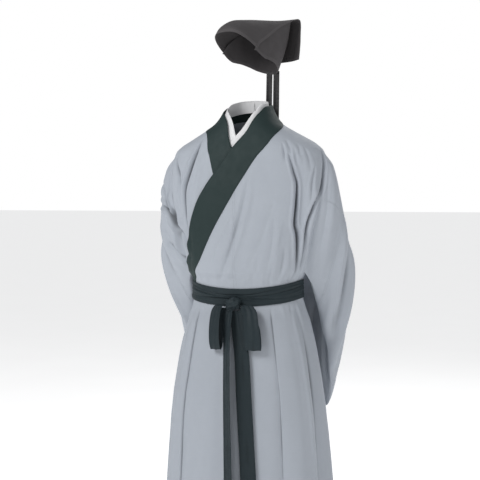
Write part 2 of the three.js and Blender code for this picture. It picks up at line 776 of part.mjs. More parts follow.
const costume = new THREE.Group();
const materialOf = (look) => new THREE.MeshStandardMaterial({ ...look, metalness: 0 });
const materials = Object.fromEntries(
  Object.entries(COLOURS).map(([name, look]) => [name, materialOf(look)]),
);
function piece(name, geometry, material) {
  const mesh = new THREE.Mesh(geometry, materials[material]);
  mesh.name = name;
  costume.add(mesh);
}

const bandEdge = SEAM_GAP / 30; // the share of a collar band's width left as its seam
const noLift = () => 0;
piece("body_left", bodyHalf(1, leftCollar, leftLift), "robe");
piece("body_right", bodyHalf(-1, rightCollar, noLift), "robe");
piece("overlap_outer", overlapPiece(1, leftCollar, 7, LEFT_TIP_ROWS, OUTER_LIFT), "robe");
piece("overlap_inner", overlapPiece(-1, rightCollar, 3, RIGHT_TIP_ROWS, 0), "robe");
piece("sleeve_left", lowerSleeve(1), "robe");
piece("sleeve_right", lowerSleeve(-1), "robe");

const band = (side, collar, tipRows, lift) =>
  collarStrip(
    side,
    collar,
    collarStations(collar, tipRows, collar.last),
    bandEdge,
    1,
    (phi) => lift(phi) + 1,
    BAND_WALL,
  );
piece("collar_left", band(1, leftCollar, LEFT_TIP_ROWS, leftLift), "band");
piece("collar_right", band(-1, rightCollar, RIGHT_TIP_ROWS, noLift), "band");

// The under-collar is two strips, the left over the right, inside the robe's collar
const underStrip = (side, collar, tipRows, depth) =>
  collarStrip(
    side,
    collar,
    collarStations(collar, tipRows, UNDER_END),
    1 - UNDER_DEPTH,
    1 + UNDER_RISE,
    () => -depth,
    UNDER_WALL,
  );
piece("under_collar_left", underStrip(1, leftCollar, LEFT_TIP_ROWS, 4.5), "white");
piece("under_collar_right", underStrip(-1, rightCollar, RIGHT_TIP_ROWS, 7), "white");

const forward = () => new THREE.Vector3(0, -1, 0);
const fromMiddle = (x, y, z) => (p) => p.clone().sub(new THREE.Vector3(x, y, z));
piece("sash_wrap", sashWrap(), "band");
piece("sash_knot", knot(), "band");
piece("sash_tail_left", sashStrip(LEFT_TAIL, 16, forward), "band");
piece("sash_tail_right", sashStrip(RIGHT_TAIL, 16, forward), "band");
piece("bow_loop_left", sashStrip(LEFT_LOOP, 18, fromMiddle(66, -148, -630)), "band");
piece("bow_loop_right", sashStrip(RIGHT_LOOP, 18, fromMiddle(-38, -155, -630)), "band");

piece("cap_cover", capCover(), "cap");
piece("cap_back", capBack(), "cap");
piece("cap_ribbon_left", capRibbon(56, 101, -2), "cap");
piece("cap_ribbon_right", capRibbon(30, 112.5, -3), "cap");

export default costume;
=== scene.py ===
# A worn costume in cloth: a cross-collared robe, its tied sash, an under-collar and a soft cap.
# The shapes are worked out in millimetres, as in the part's source, and the meshes are in metres.
import math

import bpy
import numpy as np
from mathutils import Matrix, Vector


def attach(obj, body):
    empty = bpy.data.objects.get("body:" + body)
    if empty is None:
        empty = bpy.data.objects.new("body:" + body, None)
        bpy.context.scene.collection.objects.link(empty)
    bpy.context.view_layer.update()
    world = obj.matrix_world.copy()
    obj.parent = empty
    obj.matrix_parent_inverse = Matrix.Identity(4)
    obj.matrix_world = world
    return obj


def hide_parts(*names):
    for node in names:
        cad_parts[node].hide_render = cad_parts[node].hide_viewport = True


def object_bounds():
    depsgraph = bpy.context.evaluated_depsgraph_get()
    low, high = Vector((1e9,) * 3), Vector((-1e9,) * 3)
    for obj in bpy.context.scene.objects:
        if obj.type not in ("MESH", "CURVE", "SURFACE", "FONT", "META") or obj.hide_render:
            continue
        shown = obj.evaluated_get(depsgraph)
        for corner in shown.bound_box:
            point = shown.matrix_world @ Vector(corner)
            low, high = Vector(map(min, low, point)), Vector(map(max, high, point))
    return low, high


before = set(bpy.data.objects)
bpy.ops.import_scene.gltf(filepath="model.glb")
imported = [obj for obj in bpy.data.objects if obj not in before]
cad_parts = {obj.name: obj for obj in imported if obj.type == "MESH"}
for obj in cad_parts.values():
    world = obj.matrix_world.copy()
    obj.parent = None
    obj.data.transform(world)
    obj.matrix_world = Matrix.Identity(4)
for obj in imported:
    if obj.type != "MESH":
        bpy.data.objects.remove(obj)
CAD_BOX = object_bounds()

bl_info = {
    "name": "Hanfu costume",
    "version": (1, 0, 0),
    "blender": (4, 5, 0),
    "location": "3D View > Sidebar > Costume",
    "description": "Builds the cloth, sash and cap of a worn hanfu costume",
    "category": "Object",
}

# Driving dimensions, in millimetres
OUTER_LIFT = 5.5  # how far the left front lies outside the right front
HEM_Z = -1380.0
WAIST_Z = -508.0  # middle of the sash at the sides
SASH_DIP = 23.0  # the sash hangs this much lower at the front
SASH_HALF = 28.0  # half of the folded sash's width
ARM_MIDDLE = 92.0  # the armhole's middle, as an angle round the body
ARM_TIP_Z, ARM_UNDER_Z = -98.0, -468.0
UPPER_END = 0.3  # where the sleeve is pieced, as a share of its run
BASE_Z = -478.0  # below this the rows of the robe are level
SHOULDER_Z = -28.0
COLLAR_END = -530.0  # the collars end under the sash
# The under-collar: how far it shows above the band and goes down behind it, as shares of the band's
# width, and the station of the collar's line where it ends
UNDER_RISE, UNDER_DEPTH, UNDER_END = 0.17, 0.5, 9.5
MID_SEAM = 0.12  # half the gap of a seam on the middle plane
FOLD_TOP, SKIRT_TOP, SKIRT_FULL = -560.0, -566.0, -640.0  # where the skirt's folds start, show and are full
PLEAT_TOP, LINE_FULL, PLEAT_FULL = -548.0, -600.0, -612.0  # the same for the pressed pleats and their shade
OUTER_TIP, INNER_TIP = -221.5, -341.0  # upper ends of the two overlaps, on the collars
BAND_WIDTH, STRIP_WIDTH = 45.0, 40.0  # the collar band, and the sash in its loops and tails
BAND_LIFT, SASH_LIFT = 1.4, 3.7  # how far the collar band and the sash lie outside the robe
ROLL_STEPS = (0, 0.35, 0.9, 1.8, 3.2)  # places across a rolled edge
SLEEVE_DEPTH = 1.35  # how much deeper the sleeves' creases are than in their tables
DEEP_SHADE, SOFT_SHADE, SLEEVE_SHADE = 12.0, 9.0, 20.0  # depth in full shade: deep, fine and sleeve creases
UNDER_WALL, SASH_WALL, COVER_WALL, CAP_BACK_WALL, RIBBON_CLOTH = 1.4, 1.4, 1.8, 1.6, 1.0  # thicknesses

# How finely the cloth is cut into faces
RING = 192  # points round a sleeve
CORNER = 12  # of them, from the top of the armhole to its corner
BACK_COLUMNS, FRONT_COLUMNS, OVERLAP_COLUMNS = 44, 108, 84
LOW_STEPS, TOP_STEPS = 7, 5  # rows between two heights of the tables below
UPPER_STEPS, LOWER_STEPS = 58, 110


def table(columns, rows):
    """Named columns of a table whose rows are given."""
    data = np.array(rows, float).T
    return dict(zip(columns.split(), data))


# The body's sections: half width, depth before and behind the middle, at each height
SECTIONS = table(
    "z width front back",
    [
        (HEM_Z, 270, 200, 206),
        (-1230, 258, 189, 196),
        (-1086, 246, 178, 184),
        (-966, 237, 170, 174),
        (-846, 226, 160, 162),
        (-696, 204, 143, 147),
        (-606, 184, 125, 130),
        (-566, 171, 111, 115),
        (-535, 163, 107, 109),
        (-505, 160, 107, 107),
        (-476, 162, 111, 109),
        (-455, 176, 118, 115),
        (-400, 195, 119, 120),
        (-336, 212, 119, 123),
        (-280, 228, 118, 123),
        (-216, 240, 115, 119),
        (-150, 240, 105, 113),
        (-105, 228, 96, 107),
        (-85, 208, 92, 102),
        (-65, 175, 88, 97),
        (-45, 138, 84, 91),
        (-24, 102, 79, 84),
        (-5, 84, 73, 77),
        (15, 73, 67, 71),
        (38, 65, 61, 66),
        (66, 61, 58, 64),
    ],
)
CORNER_FULLNESS = 0.035

# Vertical folds of the skirt: angle at the waist and at the hem, half width in degrees, height at the hem
SKIRT_FOLDS = [
    (-172, -170, 11, 13),
    (-146, -148, 9, -12),
    (-126, -128, 9, 12),
    (-104, -106, 8, -13),
    (-86, -88, 8, 11),
    (-52, -52, 8, 5),
    (-38, -39, 4, -5),
    (-24, -26, 8, -4),
    (-10, -13, 8, 4),
    (14, 12, 9, 3),
    (38, 39, 4, -5),
    (54, 55, 9, 5),
    (78, 80, 8, -10),
    (93, 96, 8, 12),
    (110, 113, 9, -13),
    (131, 134, 9, 13),
    (150, 153, 9, -12),
    (166, 168, 9, 10),
]
# Folds of the bodice: angle and height of each end, half width in degrees, height
BODICE_FOLDS = [
    (47, -120, 57, -440, 6, -9),
    (64, -130, 68, -420, 6, 6),
    (-50, -120, -58, -430, 6, -8),
    (-66, -140, -70, -400, 6, 6),
    (-118, -150, -126, -460, 8, -8),
    (122, -150, 128, -460, 8, -8),
    (2, -250, -20, -480, 6, 4),
    (150, -200, 158, -470, 9, 4),
    (-152, -200, -160, -470, 9, 4),
]

# The two edges of each collar band, from the middle of the back round the neck and down the front
COLLAR_COLUMNS = "seamPhi seamZ freePhi freeZ"
LEFT_COLLAR = table(
    COLLAR_COLUMNS,
    [
        (180, -6, 180, 46),
        (150, -10, 150, 44),
        (122, -17, 118, 39),
        (100, -24, 90, 33),
        (76, -33, 62, 27),
        (52, -47, 41, 8),
        (34, -66, 23, -18),
        (17, -111, -1, -80),
        (5, -186, -12, -145),
        (-6, -261, -24, -213),
        (-18.4, -336, -38, -302),
        (-34.6, -420, -50, -385),
        (-54, -478, -72, -462),
        (-61, -520, -84, -520),
        (-66, -566, -88, -566),
    ],
)
RIGHT_COLLAR = table(
    COLLAR_COLUMNS,
    [
        (180, -6, 180, 46),
        (150, -10, 150, 44),
        (122, -18, 120, 38),
        (98, -26, 96, 31),
        (72, -37, 74, 20),
        (46, -49, 40, 2),
        (31, -72, 17, -34),
        (22, -115, 6, -84),
        (16.8, -172, -1, -142),
        (11, -235, -8, -205),
        (4.6, -300, -16, -270),
        (-3, -365, -25, -335),
        (-11.5, -430, -34, -402),
        (-20, -492, -44, -486),
        (-24, -566, -50, -566),
    ],
)

# The left sleeve: the line along its top, the line along its bottom, the way its outer face looks
# (0 is forward, 90 outward, 180 back), half its thickness, and how much flatter it is at the bottom
SLEEVE = table(
    "s topX topY topZ lowX lowY lowZ facing half taper",
    [
        (0, 222, 6, -98, 172, 16, -468, 4, 50, 0.1),
        (0.1, 256, 12, -142, 185, 30, -498, 14, 56, 0.2),
        (0.2, 272, 25, -205, 192, 46, -528, 24, 58, 0.3),
        (0.3, 281, 40, -275, 198, 66, -566, 34, 56, 0.35),
        (0.42, 284, 66, -350, 208, 92, -632, 55, 52, 0.45),
        (0.55, 274, 104, -408, 217, 122, -722, 82, 48, 0.5),
        (0.66, 250, 140, -440, 216, 150, -812, 112, 44, 0.55),
        (0.76, 210, 166, -454, 199, 171, -878, 138, 42, 0.6),
        (0.87, 142, 186, -464, 146, 188, -890, 160, 40, 0.6),
        (1, 50, 200, -482, 46, 200, -884, 174, 38, 0.55),
    ],
)
HOLE_HALF = table(
    "z half",
    [
        (HEM_Z, 14),
        (-640, 14),
        (-540, 11),
        (-456, 8.5),
        (-380, 15),
        (-300, 20),
        (-220, 20),
        (-150, 14),
        (-111, 8.5),
        (-70, 9),
        (-28, 10),
    ],
)
LOW_ROWS = [HEM_Z, -1270, -1160, -1050, -940, -840, -750, -670, -615, -580, -556, -530, -506, -490, BASE_Z]
TOP_ROWS = [-92, -74, -58, -43, SHOULDER_Z]

# Strips of the sash in front of the skirt: middle, width, lean of the width and distance from the cloth
STRIP_COLUMNS = "x z width lean lift"
LEFT_TAIL = table(
    STRIP_COLUMNS,
    [
        (9, -573, 32, 0, 17),
        (16, -605, 36, 0, 14),
        (26, -650, 40, 2, 14),
        (35, -696, 42, 3, 15),
        (46, -820, 44, 4, 15),
        (57, -950, 44, 3, 15),
        (66, -1086, 45, 2, 15),
        (71, -1215, 46, 0, 15),
    ],
)
RIGHT_TAIL = table(
    STRIP_COLUMNS,
    [
        (-11, -573, 24, 10, 22),
        (-9, -605, 29, 26, 26),
        (-7, -650, 38, 40, 29),
        (-4, -696, 42, 46, 31),
        (1, -820, 44, 46, 31),
        (7, -950, 44, 44, 31),
        (12, -1086, 45, 42, 31),
        (14, -1170, 46, 38, 30),
    ],
)
LEFT_LOOP = table(
    STRIP_COLUMNS,
    [
        (28.25, -554, 20, 0, 22),
        (41, -558, 32, 0, 32),
        (52, -585, 40, 0, 38),
        (60, -625, 44, 0, 39),
        (65, -662, 46, 0, 36),
        (66, -682, 46, 0, 27),
        (65, -668, 46, 0, 17),
        (60, -625, 42, 0, 15),
        (50, -594, 32, 0, 16),
        (26, -562, 24, 0, 17),
    ],
)
RIGHT_LOOP = table(
    STRIP_COLUMNS,
    [
        (-27.3, -554, 18, 0, 22),
        (-37, -559, 26, 6, 32),
        (-41, -588, 34, 14, 40),
        (-40, -630, 38, 18, 42),
        (-38, -664, 38, 18, 39),
        (-36, -682, 38, 18, 30),
        (-36, -668, 36, 16, 20),
        (-38, -630, 34, 10, 16),
        (-37, -595, 26, 4, 15),
        (-24, -563, 20, 0, 17),
    ],
)
KNOT = {"middle": (0.0, -131.3, -552.0), "half": (20.0, 12.0, 19.0)}

# The cap. Its own frame has the middle of its hollow at the origin, its front facing -Y
CAP_X, CAP_Y, CAP_TURN, CAP_WIDTH, CAP_DEPTH = -12.0, 8.0, -30.0, 80.0, 114.0
CAP_BACK_START, CAP_BACK_DEPTH = 74.0, 100.0  # the back's first angle, and its depth before the middle
COVER = table(
    "v midY midZ sideX sideY sideZ round fall",
    [
        (0, -84, 250, 80, -20, 200, 80, 1.5),
        (1, -80, 263, 80, -14, 208, 80, 1.3),
        (2, -63, 278, 80.5, -5, 217, 80, 1.1),
        (3, -38, 289, 81, 14, 230, 78, 1),
        (4, 0, 292, 82, 38, 247, 66, 1),
        (5, 45, 294, 84, 72, 271, 40, 1),
        (6, 95, 297, 85, 110, 289, 20, 1),
        (7, 132, 299, 86, 136, 298, 10, 1),
        (8, 145, 294, 86, 146, 293, 10, 1),
        (9, 149, 270, 86, 149, 272, 10, 1),
        (10, 149, 235, 86, 149, 236, 10, 1),
        (11, 147, 205, 86, 147, 207, 10, 1),
        (12, 143, 173, 85, 144, 177, 10, 1),
    ],
)
CAP_BACK = table(
    "angle rimZ topX topY topZ",
    [
        (78, 195, 72.5, -8, 217),
        (88, 182, 73.5, 12, 232),
        (98, 172, 74.5, 36, 248),
        (112, 168, 76, 66, 267),
        (126, 160, 76, 96, 282),
        (142, 148, 68, 122, 290),
        (160, 140, 40, 127, 295.7),
        (180, 136, 0, 128, 296),
    ],
)
RIBBON_WIDTH, RIBBON_WALL, RIBBON_TOP, RIBBON_END = 19.0, 1.4, 146.0, -320.0

# Creases of the robe: points (angle round the body, z), height (a ridge is positive) and half width in mm
BODY_CREASES = [
    # short pulls below the left shoulder
    ([(45, -74), (42, -98), (41, -124)], -2.6, 6.0),
    ([(53, -84), (50, -104), (49, -122)], -2.2, 5.0),
    ([(37, -92), (36, -128)], -1.4, 7.0),
    # diagonals of the chest, along the collar and down to the sash
    ([(29, -250), (24, -340), (16, -420), (9, -474)], -2.2, 14.0),
    ([(-2, -290), (-12, -370), (-24, -448)], 2.2, 8.0),
    ([(38, -300), (36, -380), (33, -470)], 2.4, 12.0),
    ([(44, -380), (45, -430), (46, -474)], -2.6, 8.0),
    ([(22, -400), (20, -474)], -1.8, 6.0),
    # the right front
    ([(-66, -108), (-58, -140), (-52, -175)], -3.6, 8.0),
    ([(-30, -110), (-30, -190), (-33, -260)], 2.4, 10.0),
    ([(-56, -180), (-55, -270), (-60, -360), (-70, -440)], 4.2, 12.0),
    ([(-72, -160), (-68, -240), (-70, -330), (-80, -430)], -6.0, 10.0),
    ([(-40, -330), (-46, -400), (-56, -462)], -2.6, 9.0),
    # the back
    ([(176, -120), (172, -240), (168, -360), (166, -470)], -2.4, 14.0),
    ([(-174, -140), (-171, -260), (-168, -372), (-170, -470)], 2.2, 13.0),
    ([(128, -110), (134, -210), (140, -320), (150, -440)], -4.2, 14.0),
    ([(-126, -118), (-133, -216), (-138, -330), (-149, -450)], -4.6, 13.0),
    ([(112, -150), (118, -240), (118, -340), (122, -440)], 4.6, 13.0),
    ([(-113, -140), (-118, -236), (-116, -350), (-120, -446)], 4.0, 14.0),
    ([(150, -90), (154, -170), (158, -250)], 2.0, 13.0),
    ([(-150, -84), (-152, -150), (-157, -232)], -2.0, 12.0),
    ([(106, -300), (110, -380), (118, -462)], -5.0, 10.0),
    ([(-106, -310), (-111, -390), (-120, -464)], -5.4, 9.0),
    # the skirt below the sash, in front
    ([(5, -566), (6, -680), (5, -900), (7, -1200)], 2.2, 13.0),
    ([(58, -566), (63, -700), (66, -900), (68, -1150)], 4.0, 13.0),
    ([(68, -560), (73, -680), (75, -860), (76, -1100)], -5.0, 11.0),
    ([(-50, -562), (-54, -680), (-57, -860)], -3.6, 11.0),
    ([(-60, -566), (-66, -700), (-70, -930), (-72, -1200)], 4.6, 13.0),
    ([(-72, -560), (-77, -680), (-79, -880), (-80, -1130)], -5.4, 11.0),
    # the skirt at the sides and behind
    ([(99, -566), (103, -700), (104, -940)], 3.4, 11.0),
    ([(118, -560), (121, -660), (122, -850)], -4.4, 11.0),
    ([(140, -562), (142, -700), (143, -960), (144, -1240)], -4.0, 12.0),
    ([(158, -560), (160, -650), (160, -810)], 3.4, 10.0),
    ([(174, -562), (175, -700), (176, -930)], -3.6, 12.0),
    ([(-96, -566), (-97, -690), (-97, -900)], 3.6, 12.0),
    ([(-115, -560), (-117, -680), (-118, -900), (-118, -1150)], -4.0, 12.0),
    ([(-136, -562), (-138, -660), (-138, -860)], 3.2, 11.0),
    ([(-158, -560), (-159, -700), (-160, -960), (-160, -1260)], -3.8, 12.0),
]
# Pressed pleats of the skirt, whose side pieces lie over the middle one:
# angles at the heights PLEAT_Z, height in mm, the side that is raised
PLEAT_Z = (-540, -705, -837, -1086, HEM_Z)
PLEATS = [
    ((-40.5, -39.5, -41, -39.5, -39), 3.6, -1),
    ((35.5, 37.4, 38.8, 39.3, 39.5), 3.4, 1),
    ((141, 142, 143, 144, 145), 2.6, -1),
    ((-139, -141, -141, -142, -142), 2.6, 1),
]
# Deep creases of the bodice and of the sleeves' front: points in space, height (a ridge is positive)
# and half width, all in mm
DEEP_CREASES = [
    # the fold from the left armhole down to the sash
    (
        [
            (154, -82, -110), (171, -85, -165), (180, -83, -202), (177, -83, -263),
            (173, -81, -312), (173, -65, -347), (172, -58, -414), (160, -48, -476),
        ],
        -13.0,
        5.5,
    ),
    # the front edge of the left sleeve, lying over the bodice
    (
        [
            (228, -10, -100), (243, -23, -150), (240, -34, -205), (229, -60, -262),
            (214, -64, -306), (203, -60, -347), (183, -45, -415), (166, -34, -484),
        ],
        -10.5,
        5.0,
    ),
    ([(262, -20, -190), (252, -48, -262), (236, -54, -320), (222, -46, -372), (206, -32, -440)], 3.0, 14.0),
    ([(224, -49, -147), (222, -64, -200), (221, -67, -250)], -4.0, 4.5),
    # short pulls from the left shoulder
    ([(136, -80, -80), (141, -85, -104), (146, -88, -134)], -2.8, 4.0),
    ([(168, -74, -92), (174, -77, -112), (180, -80, -150)], -2.6, 4.5),
    ([(196, -58, -92), (207, -58, -124), (214, -60, -160)], -2.2, 5.0),
    # the stitched seam of the left sleeve
    ([(222, -52, -240), (240, -40, -243), (262, -27, -250), (284, 4, -272)], -1.7, 2.0),
    # diagonals of the chest
    ([(42, -116, -186), (20, -120, -280), (-10, -122, -380), (-46, -112, -480)], -3.8, 6.5),
    ([(56, -116, -200), (38, -120, -290), (10, -120, -390), (-22, -112, -482)], 3.0, 8.0),
    ([(118, -104, -290), (112, -104, -370), (96, -100, -440), (84, -98, -484)], -2.2, 8.0),
    # the right sleeve: its overhanging fold, the hollows round it and the folds below
    (
        [
            (-270, 20, -258), (-262, -20, -266), (-250, -37, -284), (-228, -42, -314),
            (-190, -60, -344), (-171, -68, -378), (-159, -73, -416),
        ],
        -17.0,
        8.5,
    ),
    (
        [(-262, -16, -290), (-246, -32, -306), (-222, -40, -336), (-196, -48, -376), (-178, -56, -424)],
        -9.0,
        15.0,
    ),
    ([(-264, -8, -238), (-252, -32, -256), (-232, -44, -286), (-200, -56, -322)], -8.0, 12.0),
    ([(-268, 0, -190), (-262, -22, -220), (-254, -34, -256), (-246, -38, -282)], -9.0, 6.0),
    ([(-250, 10, -370), (-224, -13, -396), (-201, -16, -420), (-166, -50, -446)], -9.0, 6.0),
    ([(-262, 6, -336), (-240, -20, -362), (-214, -30, -394)], 4.0, 10.0),
    # the fold from the right shoulder beside the collar, and the ones near it
    (
        [
            (-118, -66, -60), (-126, -73, -90), (-151, -81, -163), (-168, -81, -227),
            (-166, -79, -299), (-154, -82, -352),
        ],
        -10.0,
        5.5,
    ),
    ([(-142, -74, -100), (-166, -74, -170), (-182, -72, -235), (-178, -70, -300)], 3.6, 8.0),
    ([(-210, -48, -112), (-204, -55, -138), (-194, -64, -176), (-190, -66, -208)], -5.0, 4.5),
    ([(-104, -82, -96), (-122, -88, -150), (-134, -90, -200)], -2.2, 5.0),
]
# Gathers above and below the sash: angle, half width in degrees, height, how far they run
GATHERS = [
    (-168, 3.2, 2.6, 60),
    (-155, 2.4, -2.2, 44),
    (-143, 3.0, 2.2, 70),
    (-131, 2.2, -2.4, 40),
    (-119, 2.8, 2.6, 58),
    (-108, 2.2, -2.0, 46),
    (-97, 2.6, 2.4, 66),
    (-84, 2.4, -2.2, 50),
    (-73, 2.8, 2.2, 44),
    (-62, 2.0, -1.8, 38),
    (-44, 2.2, 1.6, 44),
    (-31, 2.0, -1.6, 36),
    (-21, 2.4, 1.8, 52),
    (-9, 2.0, -1.5, 34),
    (10, 2.2, 1.6, 40),
    (19, 2.0, -1.8, 54),
    (28, 2.4, 1.8, 42),
    (37, 2.0, -2.0, 60),
    (48, 2.6, 2.2, 46),
    (60, 2.2, -2.2, 52),
    (71, 2.6, 2.4, 64),
    (82, 2.2, -2.2, 40),
    (94, 2.8, 2.6, 56),
    (105, 2.2, -2.4, 48),
    (117, 3.0, 2.2, 68),
    (128, 2.4, -2.2, 42),
    (141, 2.8, 2.4, 58),
    (152, 2.2, -2.0, 50),
    (164, 3.0, 2.4, 62),
    (175, 2.4, -2.0, 44),
]
# Creases of the sleeves: points (share of its run, angle round it), height and half width in mm.
# Angle 0 is the sleeve's top, 90 its outer face, 180 its bottom, 270 its inner face.
LEFT_SLEEVE_CREASES = [
    ([(0.03, 30), (0.08, 62), (0.12, 100), (0.12, 140)], -2.0, 14.0),
    ([(0.10, 12), (0.16, 48), (0.20, 92), (0.22, 138)], 2.4, 20.0),
    ([(0.20, 10), (0.24, 46), (0.28, 90), (0.31, 140)], -2.6, 18.0),
    ([(0.33, 8), (0.35, 50), (0.38, 98), (0.43, 150)], 3.6, 20.0),
    ([(0.40, 14), (0.43, 56), (0.47, 104), (0.52, 150)], -7.0, 14.0),
    ([(0.47, 6), (0.51, 52), (0.56, 100), (0.61, 154)], 6.5, 17.0),
    ([(0.55, 12), (0.60, 58), (0.64, 106), (0.68, 150)], -7.0, 14.0),
    ([(0.63, 8), (0.68, 56), (0.72, 110), (0.76, 158)], 6.0, 16.0),
    ([(0.72, 14), (0.76, 60), (0.79, 108), (0.81, 150)], -6.0, 14.0),
    ([(0.80, 10), (0.84, 60), (0.86, 112), (0.87, 160)], 5.0, 16.0),
    ([(0.88, 14), (0.91, 62), (0.93, 120), (0.93, 162)], -5.0, 15.0),
    ([(0.30, 330), (0.38, 290), (0.46, 250), (0.52, 215)], 5.0, 15.0),
    ([(0.44, 345), (0.52, 300), (0.60, 256), (0.64, 215)], -6.0, 15.0),
    ([(0.60, 340), (0.68, 296), (0.74, 250), (0.77, 210)], 5.5, 15.0),
    ([(0.76, 345), (0.82, 300), (0.86, 250), (0.87, 212)], -5.5, 15.0),
    ([(0.36, 95), (0.44, 128), (0.50, 165)], -3.4, 10.0),
    ([(0.58, 34), (0.63, 78), (0.66, 120)], 2.8, 9.0),
    ([(0.84, 34), (0.88, 86), (0.89, 140)], 2.4, 9.0),
]
RIGHT_SLEEVE_CREASES = [
    ([(0.02, 34), (0.06, 70), (0.08, 110), (0.07, 146)], 4.6, 14.0),
    ([(0.18, 22), (0.14, 58), (0.08, 92)], 2.6, 18.0),
    ([(0.34, 18), (0.30, 58), (0.24, 98), (0.16, 138)], 3.6, 19.0),
    ([(0.38, 40), (0.35, 80), (0.30, 122), (0.25, 158)], -4.0, 15.0),
    ([(0.43, 10), (0.44, 56), (0.45, 106), (0.47, 150)], 6.0, 17.0),
    ([(0.50, 14), (0.52, 58), (0.55, 106), (0.59, 152)], -7.0, 15.0),
    ([(0.58, 8), (0.61, 54), (0.64, 104), (0.67, 156)], 6.0, 16.0),
    ([(0.66, 14), (0.69, 60), (0.72, 110), (0.75, 152)], -6.4, 14.0),
    ([(0.74, 8), (0.78, 58), (0.80, 112), (0.82, 158)], 5.4, 16.0),
    ([(0.83, 12), (0.86, 60), (0.88, 112), (0.89, 158)], -5.4, 14.0),
    ([(0.90, 12), (0.93, 64), (0.95, 120)], 4.0, 15.0),
    ([(0.28, 335), (0.36, 292), (0.44, 252), (0.50, 214)], -5.0, 15.0),
    ([(0.42, 345), (0.50, 300), (0.57, 256), (0.62, 214)], 5.6, 15.0),
    ([(0.57, 342), (0.65, 298), (0.72, 252), (0.75, 212)], -5.6, 15.0),
    ([(0.74, 345), (0.80, 300), (0.84, 252), (0.86, 214)], 5.0, 15.0),
    ([(0.62, 30), (0.66, 76), (0.69, 126)], 2.6, 9.0),
    ([(0.79, 36), (0.83, 84), (0.85, 136)], -2.8, 9.0),
]


# Curves and blends
def curve(at, value):
    """Smooth curve through (at, value), without overshoot."""
    order = np.argsort(at)
    x, y = np.asarray(at, float)[order], np.asarray(value, float)[order]
    rise = np.diff(y) / np.diff(x)
    slope = np.empty_like(x)
    slope[0], slope[-1] = rise[0], rise[-1]
    a, b = rise[:-1], rise[1:]
    together = np.where(a + b == 0, 1, a + b)
    slope[1:-1] = np.where(a * b > 0, 2 * a * b / together, 0)

    def of(q):
        q = np.clip(np.asarray(q, float), x[0], x[-1])
        i = np.clip(np.searchsorted(x, q, "left") - 1, 0, len(x) - 2)
        h = x[i + 1] - x[i]
        t = (q - x[i]) / h
        back = 1 - t
        near = back**2 * ((1 + 2 * t) * y[i] + h * t * slope[i])
        return near + t**2 * ((3 - 2 * t) * y[i + 1] - h * back * slope[i + 1])

    return of


def curves(rows, by=None):
    """One smooth curve for each column, against column `by` or the row's number."""
    at = rows[by] if by else np.arange(len(next(iter(rows.values()))))
    return {name: curve(at, column) for name, column in rows.items() if name != by}


def mix(a, b, t):
    """Between a and b, at the share t."""
    return a + (b - a) * t


def ramp(start, end, at):
    """Smooth step from 0 at start to 1 at end."""
    t = np.clip((np.asarray(at, float) - start) / (end - start), 0, 1)
    return t * t * (3 - 2 * t)


def bump(q):
    """Smooth bump, 1 in its middle and low beyond 1 on each side."""
    return np.exp(-(q**2))


def turn(a, b):
    """Shortest turn between two angles."""
    return (a - b + 540) % 360 - 180


def refine(values, steps):
    """Each interval of a list of values cut into steps."""
    at = np.arange(len(values))
    return np.interp(np.linspace(0, len(values) - 1, (len(values) - 1) * steps + 1), at, values)


# The worn robe's surface
section = curves(SECTIONS, "z")
hole_half = curve(HOLE_HALF["z"], HOLE_HALF["half"])


def smooth_body(phi, z):
    """Points of the body without its folds; phi in degrees, 0 in front and 90 on the left."""
    phi, z = np.broadcast_arrays(np.asarray(phi, float), np.asarray(z, float))
    s, c = np.sin(np.radians(phi)), np.cos(np.radians(phi))
    full = 1 + CORNER_FULLNESS * np.sin(np.radians(2 * phi)) ** 2
    depth = np.where(c > 0, section["front"](z), section["back"](z))
    return np.stack([section["width"](z) * s * full, -depth * c * full, z], -1)


def unit(v):
    """Vectors of length 1 along v."""
    return v / np.maximum(np.linalg.norm(v, axis=-1, keepdims=True), 1e-12)


def body_normal(phi, z):
    """The way out at points of the smooth body."""
    across = smooth_body(phi + 0.5, z) - smooth_body(phi - 0.5, z)
    up = smooth_body(phi, z + 0.5) - smooth_body(phi, z - 0.5)
    return unit(np.cross(across, up))


def main_fold(phi, z):
    """The largest folds, as the solids have them."""
    drop = ramp(FOLD_TOP, HEM_Z * 0.8, z)
    along = np.clip((z - FOLD_TOP) / (HEM_Z - FOLD_TOP), 0, 1)
    skirt = np.zeros(np.broadcast(phi, z).shape)
    for waist, hem, spread, height in SKIRT_FOLDS:
        middle = mix(waist, hem, along)
        skirt = skirt + height * (0.15 + 0.85 * drop) * bump(turn(phi, middle) / spread)
    bodice = np.zeros_like(skirt)
    for phi1, z1, phi2, z2, spread, height in BODICE_FOLDS:
        t = np.clip((z - z1) / (z2 - z1), 0, 1)
        middle = mix(phi1, phi2, t)
        bodice = bodice + height * np.sin(np.pi * t) * bump(turn(phi, middle) / spread)
    return np.where(z < SKIRT_TOP, skirt * ramp(SKIRT_TOP, SKIRT_FULL, z), bodice)


